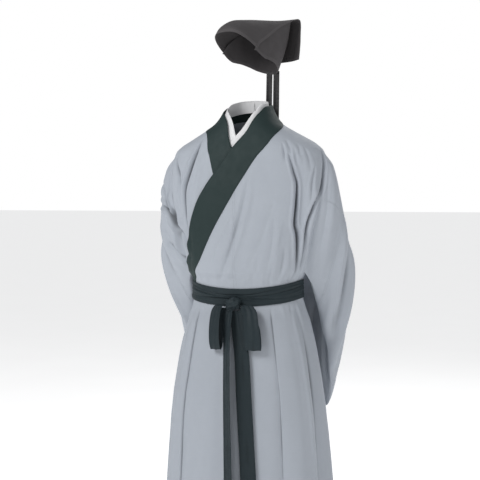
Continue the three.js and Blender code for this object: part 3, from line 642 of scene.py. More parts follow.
def crease_height(places, path, depth, half, out=None):
    """Height of one crease at some places: a soft trough or ridge with low shoulders, fading at its ends.
    Where the way out is given, the distance is measured along the cloth."""
    legs = np.linalg.norm(np.diff(path, axis=0), axis=1)
    start = np.concatenate([[0], np.cumsum(legs)])
    reach = 4 * half + (0 if out is None else 30)
    low, high = path.min(0) - reach, path.max(0) + reach
    near = np.nonzero(((places > low) & (places < high)).all(-1))[0]
    result = np.zeros(len(places))
    if not len(near):
        return result
    q = places[near]
    best, share = np.full(len(q), 1e9), np.zeros(len(q))
    for a, b, leg, first in zip(path[:-1], path[1:], legs, start):
        t = np.clip(((q - a) @ (b - a)) / leg**2, 0, 1)
        gap = q - (a + t[:, None] * (b - a))
        if out is not None:
            up = (gap * out[near]).sum(1, keepdims=True)
            gap = gap - up * out[near] * (np.abs(up) < 40)
        away = np.linalg.norm(gap, axis=1)
        closer = away < best
        best = np.where(closer, away, best)
        share = np.where(closer, (first + t * leg) / start[-1], share)
    fade = np.sin(np.pi * np.clip(share, 0, 1)) ** 0.5
    away = best / (half * (0.8 + 0.5 * share))
    across = 0.45 * bump(away) + 0.55 * bump(2 * away) - 0.3 * bump((away - 2.0) / 0.8)
    result[near] = depth * fade * across
    return result


def deep_height(places, out):
    """Height of the deep creases at points of the body and sleeves."""
    flat, ways = places.reshape(-1, 3), out.reshape(-1, 3)
    height = np.zeros(len(flat))
    for path, depth, half in DEEP_CREASES:
        height += crease_height(flat, spline(path, 5), depth, half, ways)
    return height.reshape(places.shape[:-1])


def pleats_near(phi, z):
    """For each pressed pleat: how far the points lie behind its edge in mm, and its height."""
    radius = np.linalg.norm(smooth_body(phi, z)[..., :2], axis=-1)
    for phis, tall, side in PLEATS:
        yield side * np.radians(turn(phi, curve(PLEAT_Z, phis)(z))) * radius, tall


def pleat_line(phi, z):
    """How deep in the shade of a pleat's edge each point lies, from 0 to 1."""
    level = sum(0.16 * tall * bump((away + 1.5) / 2.0) for away, tall in pleats_near(phi, z))
    return level * ramp(PLEAT_TOP, LINE_FULL, z)


def shade_map(*parts):
    """The shade in the folds, for each point, as a map of its own."""
    level = np.clip(np.concatenate([np.ravel(part) for part in parts]), 0, 1)
    return np.stack([level, 0 * level], -1)


def pleat_height(phi, z):
    """Steps of the pressed pleats: steep on one side and fading out on the other."""
    height = 0
    for away, tall in pleats_near(phi, z):
        edge = ramp(-1.6, 1.4, away) * np.exp(-np.maximum(away, 0) / 34)
        height = height + tall * (edge - 0.35 * bump((away + 3.4) / 3.4))
    return height * ramp(PLEAT_TOP, PLEAT_FULL, z)


def spline(path, steps=10):
    """The points of a path, joined by a smooth curve."""
    path = np.asarray(path, float)
    t = np.arange(len(path))
    fine = np.linspace(0, len(path) - 1, (len(path) - 1) * steps + 1)
    return np.stack([curve(t, column)(fine) for column in path.T], -1)


def body_creases(phi, z, strength):
    """The finer creases of the body, its gathers at the sash and the small unevenness of worn cloth."""
    smooth = smooth_body(phi, z)
    places = smooth.reshape(-1, 3)
    height = np.zeros(len(places))
    for path, depth, half in BODY_CREASES:
        fine = spline(path, 6)
        height += crease_height(places, smooth_body(fine[:, 0], fine[:, 1]), depth, half)
    height = height.reshape(np.shape(z))
    beyond = np.abs(z - sash_middle(phi)) - SASH_HALF
    for middle, spread, tall, run in GATHERS:
        lean = 0.02 * tall * np.maximum(beyond, 0)
        gather = bump(turn(phi, middle + lean) / spread) * bump(np.maximum(beyond - 6, 0) / run)
        height = height + tall * gather
    clear = beside_sash(phi, z)
    deep = deep_height(smooth, body_normal(phi, z)) + pleat_height(phi, z)
    return strength * clear * (height + deep) + clear * uneven(smooth)


def beside_sash(phi, z):
    """0 where the sash holds the cloth flat, 1 away from it."""
    return ramp(-6, 16, np.abs(z - sash_middle(phi)) - SASH_HALF)


def uneven(p):
    """Low, wide unevenness of cloth that has been worn, in mm."""
    x, y, z = p[..., 0], p[..., 1], p[..., 2]
    wave = 0.55 * np.sin(x / 31 + 1.7 * np.sin(z / 83) + y / 47)
    wave = wave + 0.4 * np.sin(z / 57 + 2.1 * np.sin(x / 49 + 0.7) - y / 39)
    return wave + 0.25 * np.sin((x + z) / 19 + 1.3 * np.sin((x - z) / 41) + y / 27)


def body_point(phi, z, lift, strength):
    """Points of the robe's cloth, lifted off the body by some millimetres."""
    height = lift + main_fold(phi, z) + body_creases(phi, z, strength)
    return smooth_body(phi, z) + body_normal(phi, z) * height[..., None]


def left_lift(phi):
    """How far the left half lies outside the right one."""
    return OUTER_LIFT * (1 - ramp(100, 165, np.abs(phi)))


def no_lift(phi):
    return np.zeros(np.shape(phi))


def lifted(lift, by):
    """The same lift, with some millimetres more."""
    return lambda phi: lift(phi) + by


def sash_middle(phi):
    """Height of the sash's middle line."""
    return WAIST_Z - SASH_DIP * np.maximum(0, np.cos(np.radians(phi))) ** 1.5


# Collars
def collar_line(rows):
    """A collar's course: its points across and along, and where along it an angle or a height lies."""
    line = curves(rows)
    t = np.linspace(0, len(rows["seamPhi"]) - 1, 2001)
    phis, heights = line["seamPhi"](t), line["seamZ"](t)

    def at(t, v):
        phi = mix(line["seamPhi"](t), line["freePhi"](t), v)
        return phi, mix(line["seamZ"](t), line["freeZ"](t), v)

    return {
        "at": at,
        "t_at_phi": lambda phi: np.interp(-phi, -phis, t),
        "t_at_z": lambda z: np.interp(-z, -heights, t),
        "seam_phi": line["seamPhi"],
        "seam_z": line["seamZ"],
    }


COLLAR = {1: collar_line(LEFT_COLLAR), -1: collar_line(RIGHT_COLLAR)}

# Sleeves
sleeve = curves(SLEEVE, "s")
SLEEVE_CREASES = {1: LEFT_SLEEVE_CREASES, -1: RIGHT_SLEEVE_CREASES}


def sleeve_ring(s, angle):
    """Points of the left sleeve; angle in degrees, 0 its top and 90 its outer face."""
    s, angle = np.broadcast_arrays(np.asarray(s, float), np.radians(np.asarray(angle, float)))
    top = np.stack([sleeve[n](s) for n in ("topX", "topY", "topZ")], -1)
    low = np.stack([sleeve[n](s) for n in ("lowX", "lowY", "lowZ")], -1)
    down = (1 - np.cos(angle)) / 2
    facing = np.radians(sleeve["facing"](s))
    face = np.stack([np.sin(facing), -np.cos(facing), np.zeros_like(facing)], -1)
    thick = sleeve["half"](s) * np.sin(angle) * (1 - sleeve["taper"](s) * down)
    return mix(top, low, down[..., None]) + face * thick[..., None]


def sleeve_surface(side, s, angle, strength):
    """Points of a creased sleeve, the way out at each, and the height of its creases."""
    p = sleeve_ring(s, angle)
    along = sleeve_ring(s + 0.004, angle) - sleeve_ring(s - 0.004, angle)
    round_it = sleeve_ring(s, angle + 1.5) - sleeve_ring(s, angle - 1.5)
    out = -unit(np.cross(along, round_it))
    places = p.reshape(-1, 3)
    height = np.zeros(len(places))
    for path, depth, half in SLEEVE_CREASES[side]:
        fine = spline(path, 6)
        height += SLEEVE_DEPTH * crease_height(places, sleeve_ring(fine[:, 0], fine[:, 1]), depth, half)
    # the top and the bottom are sharp turns, where a fold would cross itself
    edge = np.abs(np.sin(np.radians(angle))) ** 0.5
    start = ramp(0.0, 0.06, s)
    height = (height.reshape(p.shape[:-1]) * strength * edge + uneven(p) * edge) * start
    return p + out * height[..., None], out, height


# Meshes
def packed(count, *clusters):
    """Shares from 0 to 1, closer together round some places, each with its spread and weight."""
    t = np.linspace(0, 1, 2001)
    density = 1 + sum(weight * bump((t - at) / spread) for at, spread, weight in clusters)
    total = np.cumsum(density) - density[0]
    return np.interp(np.linspace(0, total[-1], count + 1), total, t)


def grid(rows, columns):
    """Faces of a grid of points."""
    i, j = np.meshgrid(np.arange(rows), np.arange(columns), indexing="ij")
    a = (i * (columns + 1) + j).ravel()
    return np.stack([a, a + 1, a + columns + 2, a + columns + 1], -1)


def lengths(points, axis):
    """Distance run along an axis of a grid of points."""
    leg = np.linalg.norm(np.diff(points, axis=axis), axis=-1)
    zero = np.zeros_like(np.take(leg, [0], axis=axis))
    return np.concatenate([zero, np.cumsum(leg, axis=axis)], axis=axis)


def cloth_map(points):
    """Where each point of a grid lies on the flat cloth, in metres."""
    u = lengths(points, 1)
    u = u - u.mean(axis=1, keepdims=True)
    v = lengths(points, 0)
    v = np.repeat(v.mean(axis=1, keepdims=True), points.shape[1], axis=1)
    return np.stack([u, v], -1).reshape(-1, 2) / 1000


def edge_map(points, *edges):
    """How far along and how far from the nearest finished edge each point lies, in metres.
    edges are of: start, end (rows), left, right (columns)."""
    u, v = lengths(points, 1), lengths(points, 0)
    away = {"left": u, "right": u[:, -1:] - u, "start": v, "end": v[-1:] - v}
    run = {"left": v, "right": v, "start": u, "end": u}
    near = np.stack([away[e] for e in edges])
    which = near.argmin(0)
    far = near.min(0)
    along = np.choose(which, [run[e] for e in edges])
    return np.stack([along, far], -1).reshape(-1, 2) / 1000


def cloth_object(name, points, faces, outward, thickness, maps, slot, material):
    """A wall of cloth inside its outer points (mm). outward is the way out at each point.
    maps holds, for each UV map, the coordinates of each corner of each face, or of each point."""
    first, second = points[faces[:, 2]] - points[faces[:, 0]], points[faces[:, 3]] - points[faces[:, 1]]
    if (np.cross(first, second) * outward[faces[:, 0]]).sum() < 0:
        faces = faces[:, ::-1]
        maps = {key: m[:, ::-1] if m.ndim == 3 else m for key, m in maps.items()}
    mesh = bpy.data.meshes.new(name)
    mesh.from_pydata((points / 1000).tolist(), [], faces.tolist())
    for key, m in maps.items():
        layer = mesh.uv_layers.new(name=key)
        corners = m if m.ndim == 3 else m[faces]
        layer.data.foreach_set("uv", corners.reshape(-1).astype(np.float32))
    mesh.update()
    obj = bpy.data.objects.new(name, mesh)
    bpy.context.scene.collection.objects.link(obj)
    solid = obj.modifiers.new("Wall", "SOLIDIFY")
    solid.thickness = thickness / 1000
    solid.offset = -1
    solid.use_even_offset = False
    finish_piece(obj, material, slot)
    return obj


def finish_piece(obj, material, slot):
    """Applies the modifiers, smooths the faces, and gives the piece its material and body."""
    bpy.ops.object.select_all(action="DESELECT")
    obj.select_set(True)
    bpy.context.view_layer.objects.active = obj
    for modifier in list(obj.modifiers):
        bpy.ops.object.modifier_apply(modifier=modifier.name)
    bpy.ops.object.shade_smooth_by_angle(angle=math.radians(50))
    obj.data.materials.clear()
    obj.data.materials.append(material)
    obj.select_set(False)
    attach(obj, "root")


# The robe
HOLE_COLUMNS = 2 * CORNER
FRONT_SHARES = packed(FRONT_COLUMNS, (0.52, 0.06, 2.4), (0.26, 0.12, 1.2))
BODY_COLUMNS = BACK_COLUMNS + HOLE_COLUMNS + FRONT_COLUMNS


def body_rows():
    """Heights of the robe's rows, and the first and last row of the armhole."""
    low = refine(LOW_ROWS, LOW_STEPS)
    k = np.arange(RING // 2 - 2 * CORNER + 1)
    angle = np.pi - (k + CORNER) * 2 * np.pi / RING
    hole = mix(ARM_TIP_Z, ARM_UNDER_Z, (1 - np.cos(angle)) / 2)
    top = refine([hole[-1]] + TOP_ROWS, TOP_STEPS)[1:]
    return np.concatenate([low, hole, top]), len(low), len(low) + len(hole) - 1


def column_phi(j, z):
    """Angle of the robe's columns at a height, from the middle of the back to the middle of the front."""
    half = hole_half(z)
    back = mix(180, ARM_MIDDLE + half, j / BACK_COLUMNS)
    hole = ARM_MIDDLE + half - 2 * half * (j - BACK_COLUMNS) / HOLE_COLUMNS
    share = np.interp(j - BACK_COLUMNS - HOLE_COLUMNS, np.arange(FRONT_COLUMNS + 1), FRONT_SHARES)
    front = mix(ARM_MIDDLE - half, 0, share)
    return np.where(j <= BACK_COLUMNS, back, np.where(j <= BACK_COLUMNS + HOLE_COLUMNS, hole, front))


def armhole(first, last):
    """Numbers of the robe's points round its armhole, from the middle of its top."""

    def at(row, column):
        return row * (BODY_COLUMNS + 1) + column

    middle, right, half = BACK_COLUMNS + CORNER, BACK_COLUMNS + HOLE_COLUMNS, RING // 2
    loop = [at(last, middle + k) for k in range(CORNER + 1)]
    loop += [at(last - (k - CORNER), right) for k in range(CORNER + 1, half - CORNER)]
    loop += [at(first, right - (k - (half - CORNER))) for k in range(half - CORNER, half + CORNER + 1)]
    loop += [at(first + k - (half + CORNER), BACK_COLUMNS) for k in range(half + CORNER + 1, RING - CORNER)]
    loop += [at(last, BACK_COLUMNS + k - (RING - CORNER)) for k in range(RING - CORNER, RING)]
    return np.array(loop)


def corners(t, round_first=False):
    """Map coordinates of each face's corners, from those of a grid of points."""
    a, b, c, d = t[:-1, :-1], t[1:, :-1], t[1:, 1:], t[:-1, 1:]
    return np.stack([a, d, c, b] if round_first else [a, b, c, d], 2).reshape(-1, 4, 2)


def body_half(side, lift, strength):
    """One half of the robe in one cut: front, back and upper sleeve."""
    rows, first, last = body_rows()
    j = np.arange(BODY_COLUMNS + 1)
    phi = np.array([column_phi(j, z) for z in rows])
    collar = COLLAR[side]
    top = collar["seam_z"](collar["t_at_phi"](column_phi(j, SHOULDER_Z)))
    share = np.clip((rows - BASE_Z) / (SHOULDER_Z - BASE_Z), 0, 1)[:, None]
    z = np.where(rows[:, None] <= BASE_Z, rows[:, None], mix(BASE_Z, top[None, :], share))
    body = body_point(side * phi, z, lift(phi), strength)
    body[:, 0, 0] = body[:, -1, 0] = side * MID_SEAM
    out = body_normal(side * phi, z)
    faces = grid(len(rows) - 1, BODY_COLUMNS)
    i, c = np.divmod(np.arange(len(faces)), BODY_COLUMNS)
    faces = faces[~((i >= first) & (i < last) & (c >= BACK_COLUMNS) & (c < BACK_COLUMNS + HOLE_COLUMNS))]

    # the upper sleeve grows out of the armhole, and the gap between them fades along it
    loop = armhole(first, last)
    mirror = np.array([side, 1, 1])
    angle = np.arange(RING) * 360 / RING
    flat = body.reshape(-1, 3)
    loop_out = out.reshape(-1, 3)[loop]
    loop_phi, loop_z = (side * phi).ravel()[loop], z.ravel()[loop]
    dent = deep_height(smooth_body(loop_phi, loop_z), loop_out) * beside_sash(loop_phi, loop_z) * strength
    away = flat[loop] - loop_out * dent[:, None] - sleeve_ring(0, angle) * mirror
    shares = 1 - (1 - np.linspace(0, 1, UPPER_STEPS + 1)[1:, None]) ** 1.15
    run, angles = UPPER_END * shares + 0 * angle[None, :], angle[None, :] + 0 * shares
    arm, arm_out, arm_soft = sleeve_surface(side, run, angles, strength)
    arm, arm_out = arm * mirror, arm_out * mirror
    arm = arm + away[None] * ((1 - shares) ** 2)[..., None]
    arm_out = unit(mix(loop_out[None], arm_out, (shares**0.8)[..., None]))
    arm_deep = deep_height(arm, arm_out)
    arm = arm + arm_out * (strength * arm_deep)[..., None]
    number = np.concatenate([loop[None], len(flat) + np.arange(arm[..., 0].size).reshape(arm.shape[:2])])
    nearer, further = number[:-1], number[1:]
    ring = [nearer, further, np.roll(further, -1, 1), np.roll(nearer, -1, 1)]
    faces_round = np.stack(ring, -1).reshape(-1, 4)

    tube = np.concatenate([flat[loop][None], arm])
    closed = np.concatenate([tube, tube[:, :1]], 1)
    on_body = {"cloth": cloth_map(body), "edge": edge_map(body, "left", "right", "start", "end")}
    on_tube = {"cloth": cloth_map(closed), "edge": edge_map(closed, "end")}
    maps = {}
    for key, m in on_body.items():
        maps[key] = np.concatenate([m[faces], corners(on_tube[key].reshape(*closed.shape[:2], 2))])
    # painted shade: how dark each crease, pleat edge and sleeve crease is painted, kept in the fold map
    deep = deep_height(body, out)
    soft = body_creases(side * phi, z, 1) - deep
    shaded = pleat_line(side * phi, z) - deep / DEEP_SHADE - soft / SOFT_SHADE
    fading = soft.ravel()[loop] / SOFT_SHADE * (1 - shares) ** 2
    maps["fold"] = shade_map(shaded, -arm_deep / DEEP_SHADE - arm_soft / SLEEVE_SHADE - fading)
    points = np.concatenate([flat, arm.reshape(-1, 3)])
    outward = np.concatenate([out.reshape(-1, 3), arm_out.reshape(-1, 3)])
    return points, np.concatenate([faces, faces_round]), outward, maps


def lower_sleeve(side, strength):
    """The pieced part of a sleeve, from its seam to its open cuff."""
    s = mix(UPPER_END + 0.0008, 1, np.linspace(0, 1, LOWER_STEPS + 1) ** 1.15)[:, None]
    angle = (np.arange(RING + 1) * 360 / RING)[None, :]
    mirror = np.array([side, 1, 1])
    p, out, soft = sleeve_surface(side, s + 0 * angle, angle + 0 * s, strength)
    p, out = p * mirror, out * mirror
    deep = deep_height(p, out)
    p = p + out * (strength * deep)[..., None]
    number = np.arange((LOWER_STEPS + 1) * RING).reshape(-1, RING)
    number = np.concatenate([number, number[:, :1]], 1)
    faces = np.stack([number[:-1, :-1], number[:-1, 1:], number[1:, 1:], number[1:, :-1]], -1).reshape(-1, 4)
    maps = {}
    for key, m in (("cloth", cloth_map(p)), ("edge", edge_map(p, "start", "end"))):
        maps[key] = corners(m.reshape(*p.shape[:2], 2), round_first=True)
    # painted shade of the sleeve's creases, kept in the fold map
    maps["fold"] = shade_map((-deep / DEEP_SHADE - soft / SLEEVE_SHADE)[:, :-1])
    return p[:, :-1].reshape(-1, 3), faces, out[:, :-1].reshape(-1, 3), maps


def overlap_piece(side, reach, tip_z, lift, strength):
    """The piece sewn along the middle of the front, which crosses the chest.
    reach is how many tenths of the front it covers at the skirt."""
    collar = COLLAR[side]
    shares = packed(OVERLAP_COLUMNS, (0.735, 0.07, 2.0))
    tenth = (ARM_MIDDLE - HOLE_HALF["half"][0]) / 10
    tip = np.linspace(BASE_Z, tip_z, 90)[1:]
    z = np.concatenate([refine(LOW_ROWS, LOW_STEPS), tip])[:, None]
    on_collar = collar["seam_phi"](collar["t_at_z"](np.maximum(z, COLLAR_END)))
    edge = mix(on_collar, -reach * tenth, ramp(COLLAR_END, SKIRT_FULL, z))
    phi = side * edge * shares[None, :]
    z = z + 0 * phi
    p = body_point(phi, z, lift + 0 * phi, strength)
    p[:, 0, 0] = -side * MID_SEAM
    out = body_normal(phi, z)
    maps = {"cloth": cloth_map(p), "edge": edge_map(p, "left", "right", "start")}
    # painted shade of the creases and the pleats' edges, kept in the fold map
    deep = deep_height(p, out)
    soft = body_creases(phi, z, 1) - deep
    maps["fold"] = shade_map(pleat_line(phi, z) - deep / DEEP_SHADE - soft / SOFT_SHADE)
    return p.reshape(-1, 3), grid(len(z) - 1, OVERLAP_COLUMNS), out.reshape(-1, 3), maps


def rounded(v, width, roll):
    """How far a band's face drops at its rolled edges; v is a share of its width."""
    near = np.minimum(v, 1 - v) * width
    return -roll * (1 - np.sqrt(1 - (1 - np.clip(near / (1.6 * roll), 0, 1)) ** 2))


def band_columns(width, inner):
    """Shares across a band, close together at its two rolled edges."""
    close = np.array(ROLL_STEPS) / width
    middle = np.linspace(close[-1], 1 - close[-1], inner + 1)[1:-1]
    return np.concatenate([close, middle, 1 - close[::-1]])


def collar_strip(side, stations, near, far, lift, strength, crown):
    """A strip along a collar, between two shares of its width (0 at the seam, 1 at the free edge)."""
    v = band_columns(BAND_WIDTH, 14)[None, :]
    t = stations[:, None]
    phi, z = COLLAR[side]["at"](t, mix(near, far, v))
    run = lengths(smooth_body(side * phi[:, :1], z[:, :1]), 0)
    ripple = 0.5 * np.sin(run / 23) + 0.35 * np.sin(run / 9.7 + 1.1)
    soft = crown * np.sin(np.pi * v) + rounded(v, BAND_WIDTH, 1.6) + ripple * np.sin(np.pi * v) ** 2 * 0.6
    p = body_point(side * phi, z, lift(phi) + soft, strength)
    p[0, :, 0] = side * MID_SEAM
    out = body_normal(side * phi, z)
    maps = {"cloth": cloth_map(p), "edge": edge_map(p, "left", "right")}
    return p.reshape(-1, 3), grid(len(t) - 1, v.shape[1] - 1), out.reshape(-1, 3), maps


# The sash
def sash_wrap():
    """One wrap round the waist, pleated towards the knot."""
    phi = np.linspace(-180, 180, 301)[None, :]
    v = (band_columns(2 * SASH_HALF, 30) - 0.5)[:, None]
    near_knot = 1 - ramp(6, 62, np.abs(phi))
    half = SASH_HALF * (1 - 0.06 * near_knot)
    z = sash_middle(phi) + 2 * v * half
    left = OUTER_LIFT * (1 - ramp(100, 165, phi))
    right = OUTER_LIFT * (1 - ramp(94, 114, -phi))
    pleats = 0
    # each pleat: where it lies across the band, height, half width, and how it wanders
    for at, tall, wide, sway, phase in (
        (-0.34, 1.9, 0.05, 0.05, 0.3),
        (-0.2, -2.4, 0.03, 0.06, 1.9),
        (-0.03, 2.2, 0.05, 0.07, 3.1),
        (0.13, -2.4, 0.03, 0.06, 4.4),
        (0.24, 1.6, 0.04, 0.05, 5.2),
        (0.36, -2.0, 0.03, 0.03, 0.9),
    ):
        line = (at + sway * np.sin(np.radians(phi) * 2 + phase)) * (1 - 0.6 * near_knot)
        deep = 0.45 + 0.55 * near_knot + 0.25 * np.sin(np.radians(phi) * 3 + phase)
        pleats = pleats + tall * deep * bump((v - line) / wide)
    soft = 1.5 * np.cos(np.pi * v) + pleats + rounded(v + 0.5, 2 * SASH_HALF, 1.2)
    normal = body_normal(phi, z)
    p = smooth_body(phi, z) + normal * (np.where(phi >= 0, left, right) + SASH_LIFT + soft)[..., None]
    p[:, 0, 0], p[:, -1, 0] = -MID_SEAM, MID_SEAM
    # the fold map holds painted shade in the hollows of the pleats
    maps = {"cloth": cloth_map(p), "edge": edge_map(p, "start", "end"), "fold": shade_map(-pleats / 3.2)}
    return p.reshape(-1, 3), grid(p.shape[0] - 1, p.shape[1] - 1), normal.reshape(-1, 3), maps


def sash_strip(rows, steps, pleats):
    """A strip of the sash in front of the skirt, with pleats that open out along it."""
    line = curves(rows)
    t = np.linspace(0, len(rows["x"]) - 1, steps + 1)
    x, z, width, lean, lift = (line[n](t) for n in STRIP_COLUMNS.split())
    phi = np.degrees(np.arcsin(x / section["width"](z)))
    normal = body_normal(phi, z)
    sideways = unit(np.stack([-normal[:, 1], normal[:, 0], 0 * x], -1))
    middle = smooth_body(phi, z) + normal * lift[:, None]
    run = lengths(middle[:, None], 0)[:, 0]
    k = (band_columns(STRIP_WIDTH, 16) - 0.5)[None, :]
    turned = np.radians(lean)[:, None, None]
    flat = sideways[:, None] * np.cos(turned) + normal[:, None] * np.sin(turned)
    along = unit(np.gradient(middle, axis=0))
    face = unit(np.cross(flat, along[:, None]))
    height = rounded(k + 0.5, STRIP_WIDTH, 0.8)
    for at, tall, wide, reach in pleats:
        fade = np.exp(-run / reach)[:, None]
        height = height + tall * (0.25 + 0.75 * fade) * bump((k - at * (1 - 0.4 * fade)) / wide)
    height = height + 0.8 * np.sin(run / 37)[:, None] * np.sin(np.pi * (k + 0.5))
    flat = np.repeat(flat, k.shape[1], 1)
    face = np.repeat(face, k.shape[1], 1)
    p = middle[:, None] + flat * (width[:, None] * k)[..., None] + face * height[..., None]
    maps = {"cloth": cloth_map(p), "edge": edge_map(p, "left", "right", "start", "end")}
    # painted shade in the hollows of the pleats
    maps["fold"] = shade_map(-height / 2.6)
    return p, grid(steps, k.shape[1] - 1), face, maps


def knot_object(material):
    """The knot: a ball drawn out and leaned over, with the folds of its tight wraps."""
    middle, half = Vector(KNOT["middle"]) / 1000, Vector(KNOT["half"]) / 1000
    bpy.ops.object.select_all(action="DESELECT")
    bpy.ops.mesh.primitive_uv_sphere_add(segments=96, ring_count=64, radius=1)
    knot = bpy.context.object
    knot.name = "sash_knot_cloth"
    bpy.ops.object.mode_set(mode="EDIT")
    bpy.ops.mesh.select_all(action="SELECT")
    bpy.ops.transform.resize(value=(half.x * 1.25, half.y * 0.98, half.z * 1.04))
    bpy.ops.transform.rotate(value=math.radians(14), orient_axis="Y", center_override=(0, 0, 0))
    bpy.ops.transform.translate(value=middle + Vector((0, 0, 0.004)))
    bpy.ops.object.mode_set(mode="OBJECT")
    folds = bpy.data.textures.new("Folds of the knot", "WOOD")
    folds.wood_type = "BANDNOISE"
    folds.noise_scale = 0.012
    folds.turbulence = 6
    raised = knot.modifiers.new("Folds", "DISPLACE")
    raised.texture = folds
    raised.texture_coords = "LOCAL"
    raised.strength = 0.0046
    raised.mid_level = 0.75
    knot.data.uv_layers[0].name = "cloth"
    for name, value in (("edge", (0, 0.05)), ("fold", (0, 0))):
        layer = knot.data.uv_layers.new(name=name)
        layer.data.foreach_set("uv", np.tile(value, len(knot.data.loops)).astype(np.float32))
    finish_piece(knot, material, "sash_cloth")
    return knot


# The cap
def turned_cap(v):
    """Ways in the cap's own frame, turned to the costume's."""
    a = math.radians(CAP_TURN)
    x, y = v[..., 0], v[..., 1]
    return np.stack([x * math.cos(a) - y * math.sin(a), x * math.sin(a) + y * math.cos(a), v[..., 2]], -1)


def cap_piece(p, inside, height, edges):
    """A piece of the cap from its grid of points, pushed out by the height of its dents.
    inside is a point in the cap's hollow."""
    out = unit(np.cross(np.gradient(p, axis=1), np.gradient(p, axis=0)))
    if ((p - inside) * out).sum() < 0:
        out = -out
    p = p + out * height[..., None]
    maps = {"cloth": cloth_map(p), "edge": edge_map(p, *edges)}
    points = turned_cap(p) + np.array([CAP_X, CAP_Y, 0])
    faces = grid(p.shape[0] - 1, p.shape[1] - 1)
    return points.reshape(-1, 3), faces, turned_cap(out).reshape(-1, 3), maps


def cap_cover():
    """The cover, from the cap's front rim over its crown to the square flap that hangs behind."""
    line = curves(COVER, "v")
    v = np.linspace(0, 12, 145)[:, None]
    u = (2 * band_columns(2 * CAP_WIDTH, 56) - 1)[None, :]
    round_by = np.radians(line["round"](v))
    away = ((1 - np.cos(round_by * u)) / (1 - np.cos(round_by))) ** line["fall"](v)
    x = line["sideX"](v) * np.sin(round_by * u) / np.sin(round_by)
    y = mix(line["midY"](v), line["sideY"](v), away)
    z = mix(line["midZ"](v), line["sideZ"](v), away)
    # soft dents of the crown, and puckers along the flap
    dents = 1.3 * np.sin(2.6 * u + v) * np.sin(0.9 * v) + 0.9 * np.sin(5.1 * u - 0.7 * v)
    waves = ramp(8.4, 10, v) * (1.8 * np.sin(3.4 * u + 0.6) + 1.1 * np.sin(7.0 * u + 0.3 * v))
    height = dents * ramp(0, 1.2, v) * (1 - ramp(6, 7.5, v)) + waves
    height = height + rounded(u / 2 + 0.5, 2 * CAP_WIDTH, 1.0)
    edges = ("left", "right", "start", "end")
    return cap_piece(np.stack([x, y, z], -1), np.array([0.0, 20.0, 180.0]), height, edges)


def cap_back():
    """The cap's back, from its lower edge up into the cover."""
    line = curves(CAP_BACK, "angle")
    angle = np.linspace(CAP_BACK_START, 360 - CAP_BACK_START, 181)[None, :]
    near = np.minimum(angle, 360 - angle)
    side = np.where(angle <= 180, 1, -1)
    v = np.linspace(0, 1, 41)[:, None]
    depth = np.where(np.cos(np.radians(near)) < 0, CAP_DEPTH, CAP_BACK_DEPTH)
    bulge = np.sin(np.pi * v) * ramp(100, 150, near)
    rim_x = CAP_WIDTH * 0.97 * np.sin(np.radians(near))
    x = side * mix(rim_x, line["topX"](near), v)
    y = mix(-depth * np.cos(np.radians(near)), line["topY"](near), v) + 10 * bulge
    z = mix(line["rimZ"](near), line["topZ"](near) + 6 * (1 - ramp(108, 134, near)), v)
    pulls = 1.2 * np.sin(np.radians(near) * 9 + 2.2 * v) + 0.8 * np.sin(np.radians(angle) * 15 + 1)
    height = pulls * np.sin(np.pi * v) * 0.8
    edges = ("left", "right", "start")
    return cap_piece(np.stack([x, y, z], -1), np.array([0.0, 10.0, 200.0]), height, edges)


def cap_ribbon(x, cap_y, sway, strength):
    """A ribbon that hangs from the cap's back until it meets the robe's back, then lies on it."""
    t = np.linspace(0, 1, 141)[:, None]
    k = (band_columns(RIBBON_WIDTH, 8) - 0.5)[None, :]
    z = mix(RIBBON_TOP, RIBBON_END, t)
    at = x + sway * np.sin(np.pi * t) + RIBBON_WIDTH * k
    safe = np.clip(at / section["width"](z), -1, 1)
    phi = 180 - np.degrees(np.arcsin(safe))
    tall = left_lift(phi) + RIBBON_WALL + 0.8
    on_back = body_point(phi, z + 0 * at, tall, strength)[..., 1]
    y = np.where(z > -40, cap_y, np.where(z > -180, np.maximum(on_back, cap_y), on_back))
    curl = 1.2 * np.sin(z / 41) * np.cos(np.pi * k) * ramp(-60, 40, z)
    cupped = 1.5 * k * np.sin(z / 57 + 0.8)
    p = np.stack([at, y + curl + cupped * ramp(-60, 40, z), z + 0 * at], -1)
    out = np.zeros_like(p)
    out[..., 1] = 1
    maps = {"cloth": cloth_map(p), "edge": edge_map(p, "left", "right", "end")}
    return p.reshape(-1, 3), grid(len(t) - 1, k.shape[1] - 1), out.reshape(-1, 3), maps


